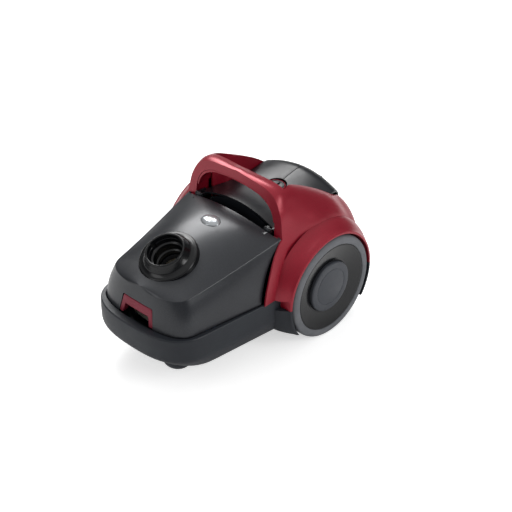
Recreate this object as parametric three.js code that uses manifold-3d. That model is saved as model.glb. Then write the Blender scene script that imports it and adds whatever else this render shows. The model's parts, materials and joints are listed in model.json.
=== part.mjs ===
// Canister vacuum cleaner: bagged body on two large rear wheels and one front caster.
// Millimetres, +Z up, front towards -Y, origin on the ground at the middle of the overall box.
import * as THREE from 'three';
import { mergeVertices } from 'three/addons/utils/BufferGeometryUtils.js';
import Module from 'manifold-3d';

const wasm = await Module();
wasm.setup();

// ---- Driving dimensions ----
const LENGTH = 410;              // bumper nose to the tip of the parking fork
const WIDTH = 279;               // over the rear wheels
const HANDLE_TOP = 264;          // ground to the top of the handle
const WHEEL_RADIUS = 85.5;
const WHEEL_WIDTH = 24;
const REAR_OVERHANG = 115;       // axle to the rear end
const DECK_LINE = 103;           // top of the bumper band
const BELLY = 38;                // ground to the underside of the tub
const WALL = 2.5;                // moulded wall
const NOSE_HEIGHT = 155;         // ridge of the cover at the nose
const SHOULDER_HEIGHT = 190;     // cover ridge where it meets the handle
const COVER_CROWN = 24;          // rise of the cover between its ridges
const BUMPER_DEPTH = 14;         // ledge in front of the cover
const HANDLE_BAND = 17;          // height of the handle bar's front face
const HANDLE_DEPTH = 29;         // handle bar, front to back
const INLET_BORE = 55;           // hose socket mouth
const INLET_FLANGE = 92;
const INLET_HEIGHT = 16;         // socket rim above the cover
const LATCH_WIDTH = 63;
const KNOB_DIAMETER = 34;
const CASTER_RADIUS = 15;
const CASTER_WIDTH = 14;
const CASTER_TRAIL = 8;
const AXLE_DIAMETER = 10;
const REEL_RADIUS = 56;
const MOTOR_RADIUS = 46;

// ---- Clearances ----
const FIT = 0.3;                 // between pieces that touch
const RUN = 1;                   // around pieces that turn or slide
const TYRE_GAP = 3.5;            // tyre to wheel arch

// ---- Worked-out places ----
const FRONT_Y = -LENGTH / 2;
const FORK_REACH = 5;
const REAR_Y = LENGTH / 2 - FORK_REACH;
const AXLE_Y = LENGTH / 2 - REAR_OVERHANG;
const AXLE_Z = WHEEL_RADIUS;
const WHEEL_FACE = WIDTH / 2;
const SIDE = WHEEL_FACE - WHEEL_WIDTH - TYRE_GAP;
const ARCH_RADIUS = WHEEL_RADIUS + TYRE_GAP;
const PARTING_RADIUS = ARCH_RADIUS + 37.5;
const HANDLE_Y = AXLE_Y - 72;
const HANDLE_LEAN = 0.1;
const SPLIT_Z = AXLE_Z + 1.5;
const BAND_END_Y = AXLE_Y - 93;
const COVER_FRONT = FRONT_Y + BUMPER_DEPTH;
const COVER_SIDE = SIDE + 4;
const BAND_SIDE = SIDE + 5;
const PEDAL_FRONT = AXLE_Y + 8;
const PEDAL_REAR = REAR_Y - 12;
const PEDAL_DROP = 12;
const PEDAL_TRAVEL = 5;
const BULKHEAD_Y = HANDLE_Y + 8;
const INLET_Y = COVER_FRONT + 72;
const INLET_TILT = THREE.MathUtils.degToRad(24);
const INDICATOR_Y = HANDLE_Y - 50;
const LID_HINGE_Y = HANDLE_Y - 1.5;
const LID_HINGE_Z = SHOULDER_HEIGHT + 6.5;
const CASTER_Y = FRONT_Y + 92;
const EPS = 0.01;

// ---- Solid helpers ----
function signedVolume(geometry) {
  const p = geometry.attributes.position;
  const index = geometry.index.array;
  const [a, b, c] = [new THREE.Vector3(), new THREE.Vector3(), new THREE.Vector3()];
  let volume = 0;
  for (let i = 0; i < index.length; i += 3) {
    a.fromBufferAttribute(p, index[i]);
    b.fromBufferAttribute(p, index[i + 1]);
    c.fromBufferAttribute(p, index[i + 2]);
    volume += a.dot(b.cross(c)) / 6;
  }
  return volume;
}

function welded(geometry) {
  const bare = geometry.clone();
  bare.deleteAttribute('normal');
  bare.deleteAttribute('uv');
  const merged = mergeVertices(bare, 1e-4);
  if (signedVolume(merged) < 0) merged.index.array.reverse();
  return merged;
}

function solid(geometry) {
  const merged = welded(geometry);
  return new wasm.Manifold(new wasm.Mesh({
    numProp: 3,
    vertProperties: new Float32Array(merged.attributes.position.array),
    triVerts: new Uint32Array(merged.index.array),
  }));
}

function geometryOf(manifold) {
  const mesh = manifold.getMesh();
  const geometry = new THREE.BufferGeometry();
  geometry.setAttribute('position', new THREE.BufferAttribute(new Float32Array(mesh.vertProperties), 3));
  geometry.setIndex(new THREE.BufferAttribute(new Uint32Array(mesh.triVerts), 1));
  geometry.computeVertexNormals();
  return geometry;
}

const join = (first, ...rest) => rest.reduce((sum, piece) => sum.add(piece), first);
const cut = (first, ...tools) => tools.reduce((left, tool) => left.subtract(tool), first);

function block(x0, x1, y0, y1, z0, z1) {
  const geometry = new THREE.BoxGeometry(x1 - x0, y1 - y0, z1 - z0);
  geometry.translate((x0 + x1) / 2, (y0 + y1) / 2, (z0 + z1) / 2);
  return solid(geometry);
}

// A cylinder between two places along one axis, centred on the other two coordinates.
function rod(axis, radius, from, to, centre, segments = 24) {
  const geometry = new THREE.CylinderGeometry(radius, radius, to - from, segments);
  if (axis === 'x') geometry.rotateZ(-Math.PI / 2);
  if (axis === 'z') geometry.rotateX(Math.PI / 2);
  const middle = (from + to) / 2;
  const place = { x: [middle, ...centre], y: [centre[0], middle, centre[1]], z: [...centre, middle] }[axis];
  geometry.translate(...place);
  return solid(geometry);
}

// A closed profile of [radius, height] points turned about an axis; height runs along the axis.
function turned(profile, segments = 40) {
  const points = profile.map(([r, h]) => new THREE.Vector2(r, h));
  return new THREE.LatheGeometry([...points, points[0].clone()], segments);
}

function turnedX(profile, side, y, z, segments) {
  const geometry = turned(profile, segments);
  geometry.rotateZ(-Math.PI / 2);
  if (side < 0) geometry.rotateY(Math.PI);
  geometry.translate(0, y, z);
  return solid(geometry);
}

function turnedZ(profile, x, y, z, segments) {
  const geometry = turned(profile, segments);
  geometry.rotateX(Math.PI / 2);
  geometry.translate(x, y, z);
  return solid(geometry);
}

// A plate with the outline of a shape drawn in X and Y, between two heights.
function plate(shape, z0, z1, curveSegments = 6) {
  const options = { depth: z1 - z0, bevelEnabled: false, curveSegments };
  const geometry = new THREE.ExtrudeGeometry(shape, options);
  geometry.translate(0, 0, z0);
  return solid(geometry);
}

// A slab with the outline of a shape drawn in X and Z, between two places along Y.
function slab(shape, y0, y1, curveSegments = 6) {
  const options = { depth: y1 - y0, bevelEnabled: false, curveSegments };
  const geometry = new THREE.ExtrudeGeometry(shape, options);
  geometry.rotateX(Math.PI / 2);
  geometry.translate(0, y1, 0);
  return solid(geometry);
}

// Skin over a row of rings with equal point counts; both ends close as fans.
function loft(rings) {
  const count = rings[0].length;
  const points = rings.flat();
  const faces = [];
  for (let r = 0; r + 1 < rings.length; r += 1) {
    for (let i = 0; i < count; i += 1) {
      const a = r * count + i;
      const b = r * count + ((i + 1) % count);
      faces.push(a, b, b + count, a, b + count, a + count);
    }
  }
  for (const [ring, start, flip] of [[rings[0], 0, true], [rings.at(-1), (rings.length - 1) * count, false]]) {
    const middle = ring.reduce((sum, p) => sum.add(p), new THREE.Vector3()).divideScalar(count);
    points.push(middle);
    for (let i = 0; i < count; i += 1) {
      const edge = [start + i, start + ((i + 1) % count)];
      if (flip) edge.reverse();
      faces.push(...edge, points.length - 1);
    }
  }
  const geometry = new THREE.BufferGeometry();
  geometry.setAttribute('position', new THREE.Float32BufferAttribute(points.flatMap((p) => p.toArray()), 3));
  geometry.setIndex(faces);
  return solid(geometry);
}

// Closed ring from one half of a profile, listed from the bottom of the side to the middle of the top.
function mirroredRing(half, y, lean = () => 0) {
  const right = half.map(([x, z]) => new THREE.Vector3(x, y + lean(z), z));
  const left = half.slice(0, -1).reverse().map(([x, z]) => new THREE.Vector3(-x, y + lean(z), z));
  return [...right, ...left];
}

// Moves each point of an open profile inwards by a wall.
function insetProfile(half, wall) {
  return half.map(([x, z], i) => {
    const before = half[Math.max(i - 1, 0)];
    const after = half[Math.min(i + 1, half.length - 1)];
    const tangent = new THREE.Vector2(after[0] - before[0], after[1] - before[1]).normalize();
    const last = i === half.length - 1;
    return [last ? 0 : x - wall * tangent.y, last ? z - wall : z + wall * tangent.x];
  });
}

const mix = THREE.MathUtils.lerp;

// Plan outline of a nose: a superellipse, as [share of the half width, share of the depth].
const NOSE_POWER = 2.7;
const NOSE_STEPS = 6;

function nosePoint(turn) {
  const power = 2 / NOSE_POWER;
  return [Math.sin(turn) ** power, 1 - Math.max(Math.cos(turn), 0) ** power];
}

// Half width of that outline at a place along Y.
function noseHalf(y, front, straight, depth) {
  const back = 1 - Math.max(y - front, 0) / depth;
  if (back <= 0) return straight;
  return straight * (1 - back ** NOSE_POWER) ** (1 / NOSE_POWER);
}

// Places along Y: close together round the nose, then even to the rear.
function stations(front, depth, rear, steps) {
  const round = [];
  for (let i = 0; i < NOSE_STEPS; i += 1) {
    round.push(front + depth * nosePoint(mix(0.12, Math.PI / 2, i / NOSE_STEPS))[1]);
  }
  const straight = [];
  for (let i = 0; i <= steps; i += 1) straight.push(mix(front + depth, rear, i / steps));
  return [...round, ...straight];
}

// ---- Front cover ----
const COVER_NOSE = 36;
const COVER_REAR = HANDLE_Y;
const NOSE_LEAN = 0.2;
const coverPart = (y) => Math.min(Math.max((y - COVER_FRONT) / (COVER_REAR - COVER_FRONT), 0), 1.15);

function coverHeights(y) {
  const u = coverPart(y);
  const ridge = NOSE_HEIGHT + (SHOULDER_HEIGHT - NOSE_HEIGHT) * u ** 1.35;
  return { ridge, crown: 5 * Math.max(1 - u, 0) + COVER_CROWN * Math.sin(0.78 * Math.PI * u) };
}

const coverRidgeHalf = (y) => noseHalf(y, COVER_FRONT, mix(SIDE - 40, SIDE - 13.5, coverPart(y)), COVER_NOSE);
const coverFootHalf = (y) => noseHalf(y, COVER_FRONT, mix(SIDE - 26, COVER_SIDE, coverPart(y)), COVER_NOSE);
const coverLean = (y) => NOSE_LEAN * Math.max(1 - 1.3 * coverPart(y), 0);

// Height of the cover's top; the leaning nose carries each section back as it rises.
function coverTop(x, y) {
  const row = y - coverLean(y) * (NOSE_HEIGHT - DECK_LINE);
  const { ridge, crown } = coverHeights(row);
  return ridge + crown * (1 - (x / coverRidgeHalf(row)) ** 2);
}

function coverProfile(y, foot) {
  const { ridge, crown } = coverHeights(y);
  const [top, bottom] = [coverRidgeHalf(y), coverFootHalf(y)];
  const bulge = 3 * Math.min(top / (SIDE - 40), 1);
  const half = [];
  for (const s of [0, 0.35, 0.7]) {
    half.push([mix(bottom, top, s) + bulge * Math.sin(Math.PI * s), mix(foot, ridge, s)]);
  }
  half.push([top + bulge * 0.27, ridge - 3]);
  for (const s of [1, 0.8, 0.54, 0.27, 0]) half.push([top * s, ridge + crown * (1 - s * s)]);
  return half;
}

function coverBlock(wall, foot) {
  const rows = stations(COVER_FRONT, COVER_NOSE, COVER_REAR + 22, 4);
  return loft(rows.map((y, i) => {
    const half = coverProfile(y, foot);
    const shifted = wall ? insetProfile(half, Math.min(wall, half[0][0] / 3)) : half;
    const nose = Math.max(1 - i / NOSE_STEPS, 0);
    return mirroredRing(shifted, y + wall * nose, (z) => coverLean(y) * (z - DECK_LINE));
  }));
}

// Everything behind a curve over the handle well that bows forward in the middle.
function crescent(half, ends, middle, rear) {
  const shape = new THREE.Shape();
  shape.moveTo(-half, ends);
  shape.quadraticCurveTo(0, 2 * middle - ends, half, ends);
  shape.lineTo(half, rear);
  shape.lineTo(-half, rear);
  shape.closePath();
  return shape;
}

const archCylinder = (radius) => rod('x', radius, -WIDTH, WIDTH, [AXLE_Y, AXLE_Z], 52);

// Everything behind the leaning plane of the handle's front face, moved back by a gap.
function behindHandle(gap) {
  const geometry = new THREE.BoxGeometry(2 * WIDTH, LENGTH, 2 * HANDLE_TOP);
  geometry.translate(0, LENGTH / 2, 0);
  geometry.rotateX(-Math.atan(HANDLE_LEAN));
  geometry.translate(0, HANDLE_Y + gap, SHOULDER_HEIGHT);
  return solid(geometry);
}

// ---- Latch, hose socket and bag indicator places ----
const LATCH_TOP = DECK_LINE + 31;
const LATCH_LEG = 6.5;
const LATCH_BAR = 14.5;
const LATCH_FLARE = 5;
const LATCH_DEPTH = 9;
const LATCH_POCKET = 26;
const INDICATOR_WIDE = 34;
const INDICATOR_DEEP = 25;

// Latch outline in X and Z: narrower at its top, with small round corners.
function latchOutline(grow, foot, width = LATCH_WIDTH, crest = LATCH_TOP) {
  const shape = new THREE.Shape();
  const top = width / 2 + grow;
  const peak = crest + grow;
  shape.moveTo(-top - LATCH_FLARE, foot);
  shape.lineTo(top + LATCH_FLARE, foot);
  shape.lineTo(top, peak - 3);
  shape.quadraticCurveTo(top, peak, top - 3, peak);
  shape.lineTo(3 - top, peak);
  shape.quadraticCurveTo(-top, peak, -top, peak - 3);
  shape.closePath();
  return shape;
}

// Turned about the socket's axis, which leans forward square to the cover; height 0 is at the cover.
function inletPlaced(geometry) {
  geometry.rotateX(Math.PI / 2);
  geometry.rotateX(INLET_TILT);
  geometry.translate(0, INLET_Y, coverTop(0, INLET_Y) + INLET_SINK);
  return solid(geometry);
}

function ovalPlaced(profile) {
  const geometry = turned(profile, 20);
  geometry.rotateX(Math.PI / 2);
  geometry.scale(INDICATOR_WIDE / 2, INDICATOR_DEEP / 2, 1);
  geometry.rotateX(INDICATOR_TILT);
  geometry.translate(0, INDICATOR_Y, coverTop(0, INDICATOR_Y));
  return solid(geometry);
}

const INLET_SINK = -4;
const INDICATOR_TILT = 0.1;
const EAR_X = SIDE - 39;
const EAR_RADIUS = 3.6;
const HINGE_PIN_RADIUS = 1.6;
const hingeBore = () => rod('x', HINGE_PIN_RADIUS + FIT, -SIDE, SIDE, [LID_HINGE_Y, LID_HINGE_Z], 16);

// Hinge ear on the cover's rear edge, at one end of the gutter.
function lidEar(side) {
  const x = side * EAR_X;
  const web = block(x - 3, x + 3, LID_HINGE_Y - 12, LID_HINGE_Y, LID_HINGE_Z - 5.5, LID_HINGE_Z - 1);
  return join(web, rod('x', EAR_RADIUS, x - 3, x + 3, [LID_HINGE_Y, LID_HINGE_Z], 20));
}

const COVER_REAR_ENDS = HANDLE_Y - 4;
const COVER_REAR_MIDDLE = HANDLE_Y - 10;

function coverShell() {
  const outer = coverBlock(0, DECK_LINE + FIT);
  const inner = coverBlock(WALL, DECK_LINE - 12);
  const liner = slab(latchOutline(3, DECK_LINE + FIT), COVER_FRONT, COVER_FRONT + LATCH_POCKET + WALL);
  const pocket = slab(latchOutline(FIT, DECK_LINE - 5), COVER_FRONT - 10, COVER_FRONT + LATCH_POCKET);
  const lined = cut(outer, inner).add(liner.intersect(outer));
  const flange = INLET_FLANGE / 2 + FIT;
  const flangeHole = inletPlaced(turned([[0, -30], [flange, -30], [flange, 40], [0, 40]], 26));
  const lensHole = ovalPlaced([[0, -20], [1.02, -20], [1.02, 20], [0, 20]]);
  const gutter = plate(crescent(SIDE - 19, COVER_REAR_ENDS, COVER_REAR_MIDDLE, AXLE_Y), SHOULDER_HEIGHT - 40,
    HANDLE_TOP, 12);
  const shell = cut(lined, pocket, flangeHole, lensHole, archCylinder(PARTING_RADIUS + FIT), gutter,
    behindHandle(-FIT));
  return cut(join(shell, lidEar(1), lidEar(-1)), hingeBore(), latchBore());
}

// Red frame of the latch: a bar on two legs, with a lug that hooks over the band.
function latch() {
  const back = COVER_FRONT + LATCH_DEPTH + 3;
  const frame = slab(latchOutline(-RUN, DECK_LINE + RUN), COVER_FRONT - 5, back);
  const gap = slab(latchOutline(-LATCH_LEG, DECK_LINE - 9, LATCH_WIDTH, LATCH_TOP - LATCH_BAR + LATCH_LEG),
    COVER_FRONT - 20, back + 5);
  const flush = coverBlock(EPS, BELLY);
  const bar = cut(frame, gap).intersect(flush);
  const spine = block(-LATCH_WIDTH / 2 + 6, LATCH_WIDTH / 2 - 6, back - 3, back + 8, LATCH_TOP - 8, LATCH_TOP - 4);
  return cut(join(bar, spine), latchBore());
}

const LATCH_PIN_Y = COVER_FRONT + LATCH_DEPTH + 8;
const LATCH_PIN_Z = LATCH_TOP - 6;
const LATCH_PIN_HALF = LATCH_WIDTH / 2 + 2.4;
const latchBore = () => rod('x', 1.2 + FIT, -LATCH_PIN_HALF - FIT, LATCH_PIN_HALF + FIT, [LATCH_PIN_Y, LATCH_PIN_Z], 12);
const latchPin = () => rod('x', 1.2, -LATCH_PIN_HALF, LATCH_PIN_HALF, [LATCH_PIN_Y, LATCH_PIN_Z], 12);

function latchSpring() {
  const front = COVER_FRONT + LATCH_DEPTH + 3 + FIT;
  const length = LATCH_POCKET - LATCH_DEPTH - 3 - 2 * FIT;
  return coil(2.2, 0.9, 5, length, new THREE.Vector3(0, front, LATCH_PIN_Z - 6.5), 'y');
}

// A helical spring with closed ends, standing on a place and rising along one axis.
function coil(radius, wire, turns, height, foot, axis) {
  const points = [];
  const steps = turns * 8;
  for (let i = 0; i <= steps; i += 1) {
    const angle = (i / 8) * 2 * Math.PI;
    const rise = mix(wire, height - wire, i / steps);
    const flat = [radius * Math.cos(angle), radius * Math.sin(angle)];
    const offset = axis === 'z' ? [flat[0], flat[1], rise] : [flat[0], rise, flat[1]];
    points.push(new THREE.Vector3(...offset).add(foot));
  }
  const section = new THREE.Shape().absarc(0, 0, wire / 2, 0, 2 * Math.PI);
  const path = new THREE.CatmullRomCurve3(points);
  return new THREE.ExtrudeGeometry(section, { steps, extrudePath: path, curveSegments: 2, bevelEnabled: false });
}

function inletCollar() {
  const [bore, flange] = [INLET_BORE / 2, INLET_FLANGE / 2];
  const rim = bore + 3.2;
  const top = INLET_HEIGHT - INLET_SINK;
  const profile = [[flange, -8], [flange, 3.5], [flange - 1.5, 5], [flange - 5, 5.6], [flange - 9.5, 8],
    [rim + 3, 13], [rim + 0.8, top - 2.5], [rim, top], [bore, top], [bore, 4], [bore - 4.5, 3], [bore - 4.5, -9],
    [bore - 8, -10], [bore - 8, -24], [bore - 5.5, -24], [bore - 5.5, -11], [bore - 2, -8], [bore + 2, 0],
    [flange - 3, 2], [flange - 3, -8]];
  return inletPlaced(turned(profile, 26));
}

function inletSeal() {
  const outer = INLET_BORE / 2 - 8 - FIT;
  return inletPlaced(turned([[outer, -23], [outer, -18], [outer - 2, -18], [outer - 4, -21], [outer - 4, -23]], 20));
}

const lens = () => ovalPlaced([[0, 3.6], [0.35, 3.3], [0.7, 2.2], [0.9, 0.8], [1, -1], [1, -6], [0.9, -6], [0.88, -1],
  [0.6, 1], [0, 1.8]]);

function indicatorFlag() {
  const geometry = new THREE.BoxGeometry(12, 7, 1.4);
  geometry.rotateX(INDICATOR_TILT);
  geometry.translate(0, INDICATOR_Y - 3, coverTop(0, INDICATOR_Y) - 2);
  return solid(geometry);
}

// Channel under the lens that the flag slides in.
function indicatorChannel() {
  const body = ovalPlaced([[0, -7], [0.86, -7], [0.86, -3.2], [0, -3.2]]);
  const z = coverTop(0, INDICATOR_Y);
  const walls = [-1, 1].map((side) => block(side * 8 - 1.2, side * 8 + 1.2, INDICATOR_Y - 7, INDICATOR_Y + 7, z - 5, z - 1.6));
  return join(body, ...walls);
}

// ---- Bumper tub ----
const BAND_NOSE = 62;
const TAIL = { x: 34, y: 38 };

// Plan loop of the tub at a height, set in from its widest by a share at the sides and the nose.
function bandLoop(z, sideInset, noseInset) {
  const front = FRONT_Y + noseInset;
  const half = [[0, front]];
  const widen = (y) => mix(SIDE - 17, BAND_SIDE, (y - FRONT_Y) / (BAND_END_Y - FRONT_Y)) - sideInset;
  for (let i = 1; i <= NOSE_STEPS; i += 1) {
    const [across, along] = nosePoint((i / NOSE_STEPS) * Math.PI / 2);
    const y = front + BAND_NOSE * along;
    half.push([widen(y) * across, y]);
  }
  for (const s of [0.33, 0.66, 1]) {
    const y = mix(front + BAND_NOSE, BAND_END_Y, s);
    half.push([widen(y), y]);
  }
  half.push([SIDE - sideInset, BAND_END_Y + 0.1]);
  for (let i = 4; i >= 0; i -= 1) {
    const [across, along] = nosePoint((i / 4) * Math.PI / 2);
    half.push([SIDE - TAIL.x * (1 - across) - sideInset, REAR_Y - TAIL.y * along - sideInset]);
  }
  half.push([0, REAR_Y - sideInset]);
  const right = half.map(([x, y]) => new THREE.Vector3(x, y, z));
  const left = half.slice(1, -1).reverse().map(([x, y]) => new THREE.Vector3(-x, y, z));
  return [...right, ...left];
}

const fenderProfile = () => [
  [ARCH_RADIUS, SIDE - WALL], [ARCH_RADIUS + 18, SIDE - WALL], [ARCH_RADIUS + 15.5, SIDE + 6],
  [ARCH_RADIUS + 10.5, SIDE + 14], [ARCH_RADIUS + 5.5, SIDE + 20.5], [ARCH_RADIUS + 2.4, WHEEL_FACE - 1.5],
  [ARCH_RADIUS, WHEEL_FACE - 1.5],
];

const fender = (side) => turnedX(fenderProfile(), side, AXLE_Y, AXLE_Z, 36);

// The dark lower ends of the wheel arch, cut off on a slope in front and behind.
function wings(side) {
  const reach = ARCH_RADIUS + 25;
  const low = block(-WIDTH, WIDTH, AXLE_Y - reach, AXLE_Y + reach, -5, SPLIT_Z - FIT);
  const foot = ARCH_RADIUS * 0.7;
  const shape = new THREE.Shape();
  shape.moveTo(-reach, -WHEEL_RADIUS * 0.42);
  shape.lineTo(-foot, -WHEEL_RADIUS * 0.66);
  shape.lineTo(-foot, WHEEL_RADIUS);
  shape.lineTo(foot, WHEEL_RADIUS);
  shape.lineTo(foot, -WHEEL_RADIUS * 0.66);
  shape.lineTo(reach, -WHEEL_RADIUS * 0.42);
  shape.lineTo(reach, -3 * WHEEL_RADIUS);
  shape.lineTo(-reach, -3 * WHEEL_RADIUS);
  shape.closePath();
  const geometry = new THREE.ExtrudeGeometry(shape, { depth: 2 * WIDTH, bevelEnabled: false });
  geometry.rotateX(Math.PI / 2);
  geometry.rotateZ(Math.PI / 2);
  geometry.translate(-WIDTH, AXLE_Y, AXLE_Z);
  return fender(side).intersect(low).subtract(solid(geometry));
}

const wheelPocket = (side) => rod('x', ARCH_RADIUS, side > 0 ? SIDE : -WIDTH, side > 0 ? WIDTH : -SIDE,
  [AXLE_Y, AXLE_Z], 36);

const POD_X = 49;
const POD_Y = FRONT_Y + 50;
const POD_BOTTOM = BELLY - 9;

// Rounded foot housing under one front corner.
function pod(side) {
  const profile = [[0, POD_BOTTOM], [15, POD_BOTTOM + 0.4], [20, POD_BOTTOM + 3], [23, POD_BOTTOM + 8],
    [24, POD_BOTTOM + 20], [0, POD_BOTTOM + 20]];
  const geometry = turned(profile, 20);
  geometry.rotateX(Math.PI / 2);
  geometry.scale(1, 0.9, 1);
  geometry.translate(side * POD_X, POD_Y, 0);
  return solid(geometry);
}

const GLIDE_RADIUS = 9;
const GLIDE_DEPTH = 5;
const glide = (side) => turnedZ([[0, -4.7], [GLIDE_RADIUS - 3, -4.7], [GLIDE_RADIUS, -2.5], [GLIDE_RADIUS, -FIT],
  [3, -FIT], [3, GLIDE_DEPTH], [0, GLIDE_DEPTH]], side * POD_X, POD_Y, POD_BOTTOM, 20);
const glideHole = (side) => rod('z', 3 + FIT, 0, POD_BOTTOM + GLIDE_DEPTH + 1, [side * POD_X, POD_Y], 16);

const AXLE_BLOCK = 11;
function axleBlock(side) {
  const [inner, outer] = [SIDE - WALL - AXLE_BLOCK, SIDE - WALL - FIT];
  const [x0, x1] = side > 0 ? [inner, outer] : [-outer, -inner];
  const half = AXLE_DIAMETER / 2 + 6;
  return join(block(x0, x1, AXLE_Y - half, AXLE_Y + half, BELLY + 1, AXLE_Z),
    rod('x', half, x0, x1, [AXLE_Y, AXLE_Z], 20));
}

const axleBore = () => rod('x', AXLE_DIAMETER / 2 + FIT, -WIDTH, WIDTH, [AXLE_Y, AXLE_Z], 24);

const CASTER_POST = 7;
const CASTER_TOP = BELLY + 24;

function tub() {
  const outer = loft([bandLoop(BELLY, 14, 30), bandLoop(BELLY + 3, 10, 26), bandLoop(BELLY + 14, 4.5, 12),
    bandLoop(BELLY + 24, 1, 2), bandLoop(DECK_LINE - 34, 0, 0), bandLoop(DECK_LINE - 2, 0, 0),
    bandLoop(DECK_LINE, 1, 1)]);
  const inner = loft([bandLoop(BELLY + WALL, 14 + WALL, 30 + WALL), bandLoop(BELLY + 3 + WALL, 10 + WALL, 26 + WALL),
    bandLoop(BELLY + 14 + WALL, 4.5 + WALL, 12 + WALL), bandLoop(BELLY + 24 + WALL, WALL + 1, WALL + 2),
    bandLoop(DECK_LINE - 12, WALL, WALL)]);
  const throat = loft(stations(COVER_FRONT - RUN, COVER_NOSE, BAND_END_Y + 1, 6).map((y) => {
    const half = coverFootHalf(y + RUN) + RUN;
    return mirroredRing([[half, DECK_LINE - 16], [half, DECK_LINE + 5], [0, DECK_LINE + 5]], y);
  }));
  const rearTop = block(-WIDTH, WIDTH, BAND_END_Y, LENGTH, SPLIT_Z - FIT, HANDLE_TOP);
  const rearWell = block(-(SIDE - WALL), SIDE - WALL, BAND_END_Y - 20, REAR_Y - TAIL.y, SPLIT_Z - 24, HANDLE_TOP);
  const tail = block(-(SIDE - TAIL.x), SIDE - TAIL.x, REAR_Y - TAIL.y - 1, REAR_Y - WALL, SPLIT_Z - 24, HANDLE_TOP);
  const casterHole = rod('z', CASTER_POST + FIT, 0, CASTER_TOP - 3, [0, CASTER_Y], 18);
  const casterBoss = rod('z', CASTER_POST + 4, BELLY, CASTER_TOP, [0, CASTER_Y], 18);
  const shell = cut(join(outer, pod(-1), pod(1)), inner, throat, rearTop, rearWell, tail);
  const fitted = join(shell, wings(1), wings(-1), axleBlock(1), axleBlock(-1), casterBoss);
  return cut(fitted, wheelPocket(1), wheelPocket(-1), axleBore(), casterHole, glideHole(1), glideHole(-1));
}

// ---- Rear shell with the handle ----
// Places along Y, each with its outline from the foot of the side up to the middle of the top.
const SHELL_PLACES = [
  { y: HANDLE_Y - 60, points: [[SIDE + 5, SPLIT_Z], [SIDE + 1, 142], [SIDE - 13, 188], [SIDE - 34, 205],
    [SIDE - 62, 212], [0, 214]] },
  { y: HANDLE_Y, points: [[SIDE + 3, SPLIT_Z], [SIDE + 1, 142], [SIDE - 12, 191], [SIDE - 21, 227],
    [SIDE - 40, 250], [0, HANDLE_TOP - 2.3]] },
  { y: HANDLE_Y + HANDLE_DEPTH, points: [[SIDE, SPLIT_Z], [SIDE, 142], [SIDE - 7, 192], [SIDE - 21, 232],
    [SIDE - 36, 254], [0, HANDLE_TOP - 5.5]] },
  { y: AXLE_Y, points: [[SIDE, SPLIT_Z], [SIDE, 142], [SIDE + 0.5, 191], [SIDE - 18, 221], [SIDE - 37, 236],
    [0, 238]] },
  { y: AXLE_Y + 45, points: [[SIDE, SPLIT_Z], [SIDE, 138], [SIDE - 1, 181], [SIDE - 17, 202], [SIDE - 38, 211],
    [0, 212]] },
  { y: REAR_Y - 38, points: [[SIDE, SPLIT_Z], [SIDE, 130], [SIDE - 4, 162], [SIDE - 20, 182], [SIDE - 39, 192],
    [0, 193]] },
  { y: REAR_Y - 15, points: [[SIDE - 3, SPLIT_Z], [SIDE - 4, 118], [SIDE - 10, 143], [SIDE - 26, 166],
    [SIDE - 47, 177], [0, 178]] },
  { y: REAR_Y, points: [[SIDE - 34, SPLIT_Z], [SIDE - 35, 108], [SIDE - 40, 130], [SIDE - 52, 148],
    [SIDE - 68, 156], [0, 157]] },
];
const SHELL_SAMPLES = 9;
const SHELL_STEPS = 2;

function shellRings(wall) {
  const lanes = SHELL_PLACES[0].points.map((_, i) => new THREE.CatmullRomCurve3(
    SHELL_PLACES.map(({ y, points }) => new THREE.Vector3(points[i][0], y, points[i][1])), false, 'catmullrom', 0.5));
  const rings = [];
  const steps = (SHELL_PLACES.length - 1) * SHELL_STEPS;
  for (let s = 0; s <= steps; s += 1) {
    const corners = lanes.map((lane) => lane.getPoint(s / steps));
    const profile = new THREE.CatmullRomCurve3(corners, false, 'centripetal');
    const half = profile.getPoints(SHELL_SAMPLES).map((p) => [p.x, p.z]);
    half[half.length - 1][0] = 0;
    const shaped = wall ? insetProfile(half, wall) : half;
    if (wall) shaped.unshift([shaped[0][0], SPLIT_Z - 20]);
    rings.push(mirroredRing(shaped, corners[0].y - (s === steps ? wall : 0)));
  }
  return rings;
}

// Half width of the well between the handle's arms, along Y.
const WELL_CURVE = new THREE.SplineCurve([
  new THREE.Vector2(SIDE - 30, HANDLE_Y - 14), new THREE.Vector2(SIDE - 37, HANDLE_Y + HANDLE_DEPTH),
  new THREE.Vector2(SIDE - 47, HANDLE_Y + 55), new THREE.Vector2(SIDE - 47, AXLE_Y + 18),
  new THREE.Vector2(SIDE - 40, REAR_Y - 42), new THREE.Vector2(SIDE - 48, REAR_Y - 15),
  new THREE.Vector2(SIDE - 62, REAR_Y + 5),
]);
const WELL_POINTS = WELL_CURVE.getPoints(60);

// Value of a sampled curve at a place: along and across name its two coordinates.
function readCurve(points, along, across, place) {
  for (let i = 0; i + 1 < points.length; i += 1) {
    const [a, b] = [points[i], points[i + 1]];
    const share = (place - a[along]) / (b[along] - a[along]);
    if (share >= 0 && share <= 1) return mix(a[across], b[across], share);
  }
  return place < points[0][along] ? points[0][across] : points.at(-1)[across];
}

const wellHalf = (y) => readCurve(WELL_POINTS, 'y', 'x', y);

function wellPlan(front, rear, shrink, step = 9) {
  const right = [];
  const count = Math.ceil((rear - front) / step);
  for (let i = 0; i <= count; i += 1) {
    const y = mix(front, rear, i / count);
    right.push(new THREE.Vector2(wellHalf(y) - shrink, y));
  }
  const left = right.map((p) => new THREE.Vector2(-p.x, p.y)).reverse();
  return new THREE.Shape([...right, ...left]);
}

const WELL_FLOOR = SHOULDER_HEIGHT - 37;

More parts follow.
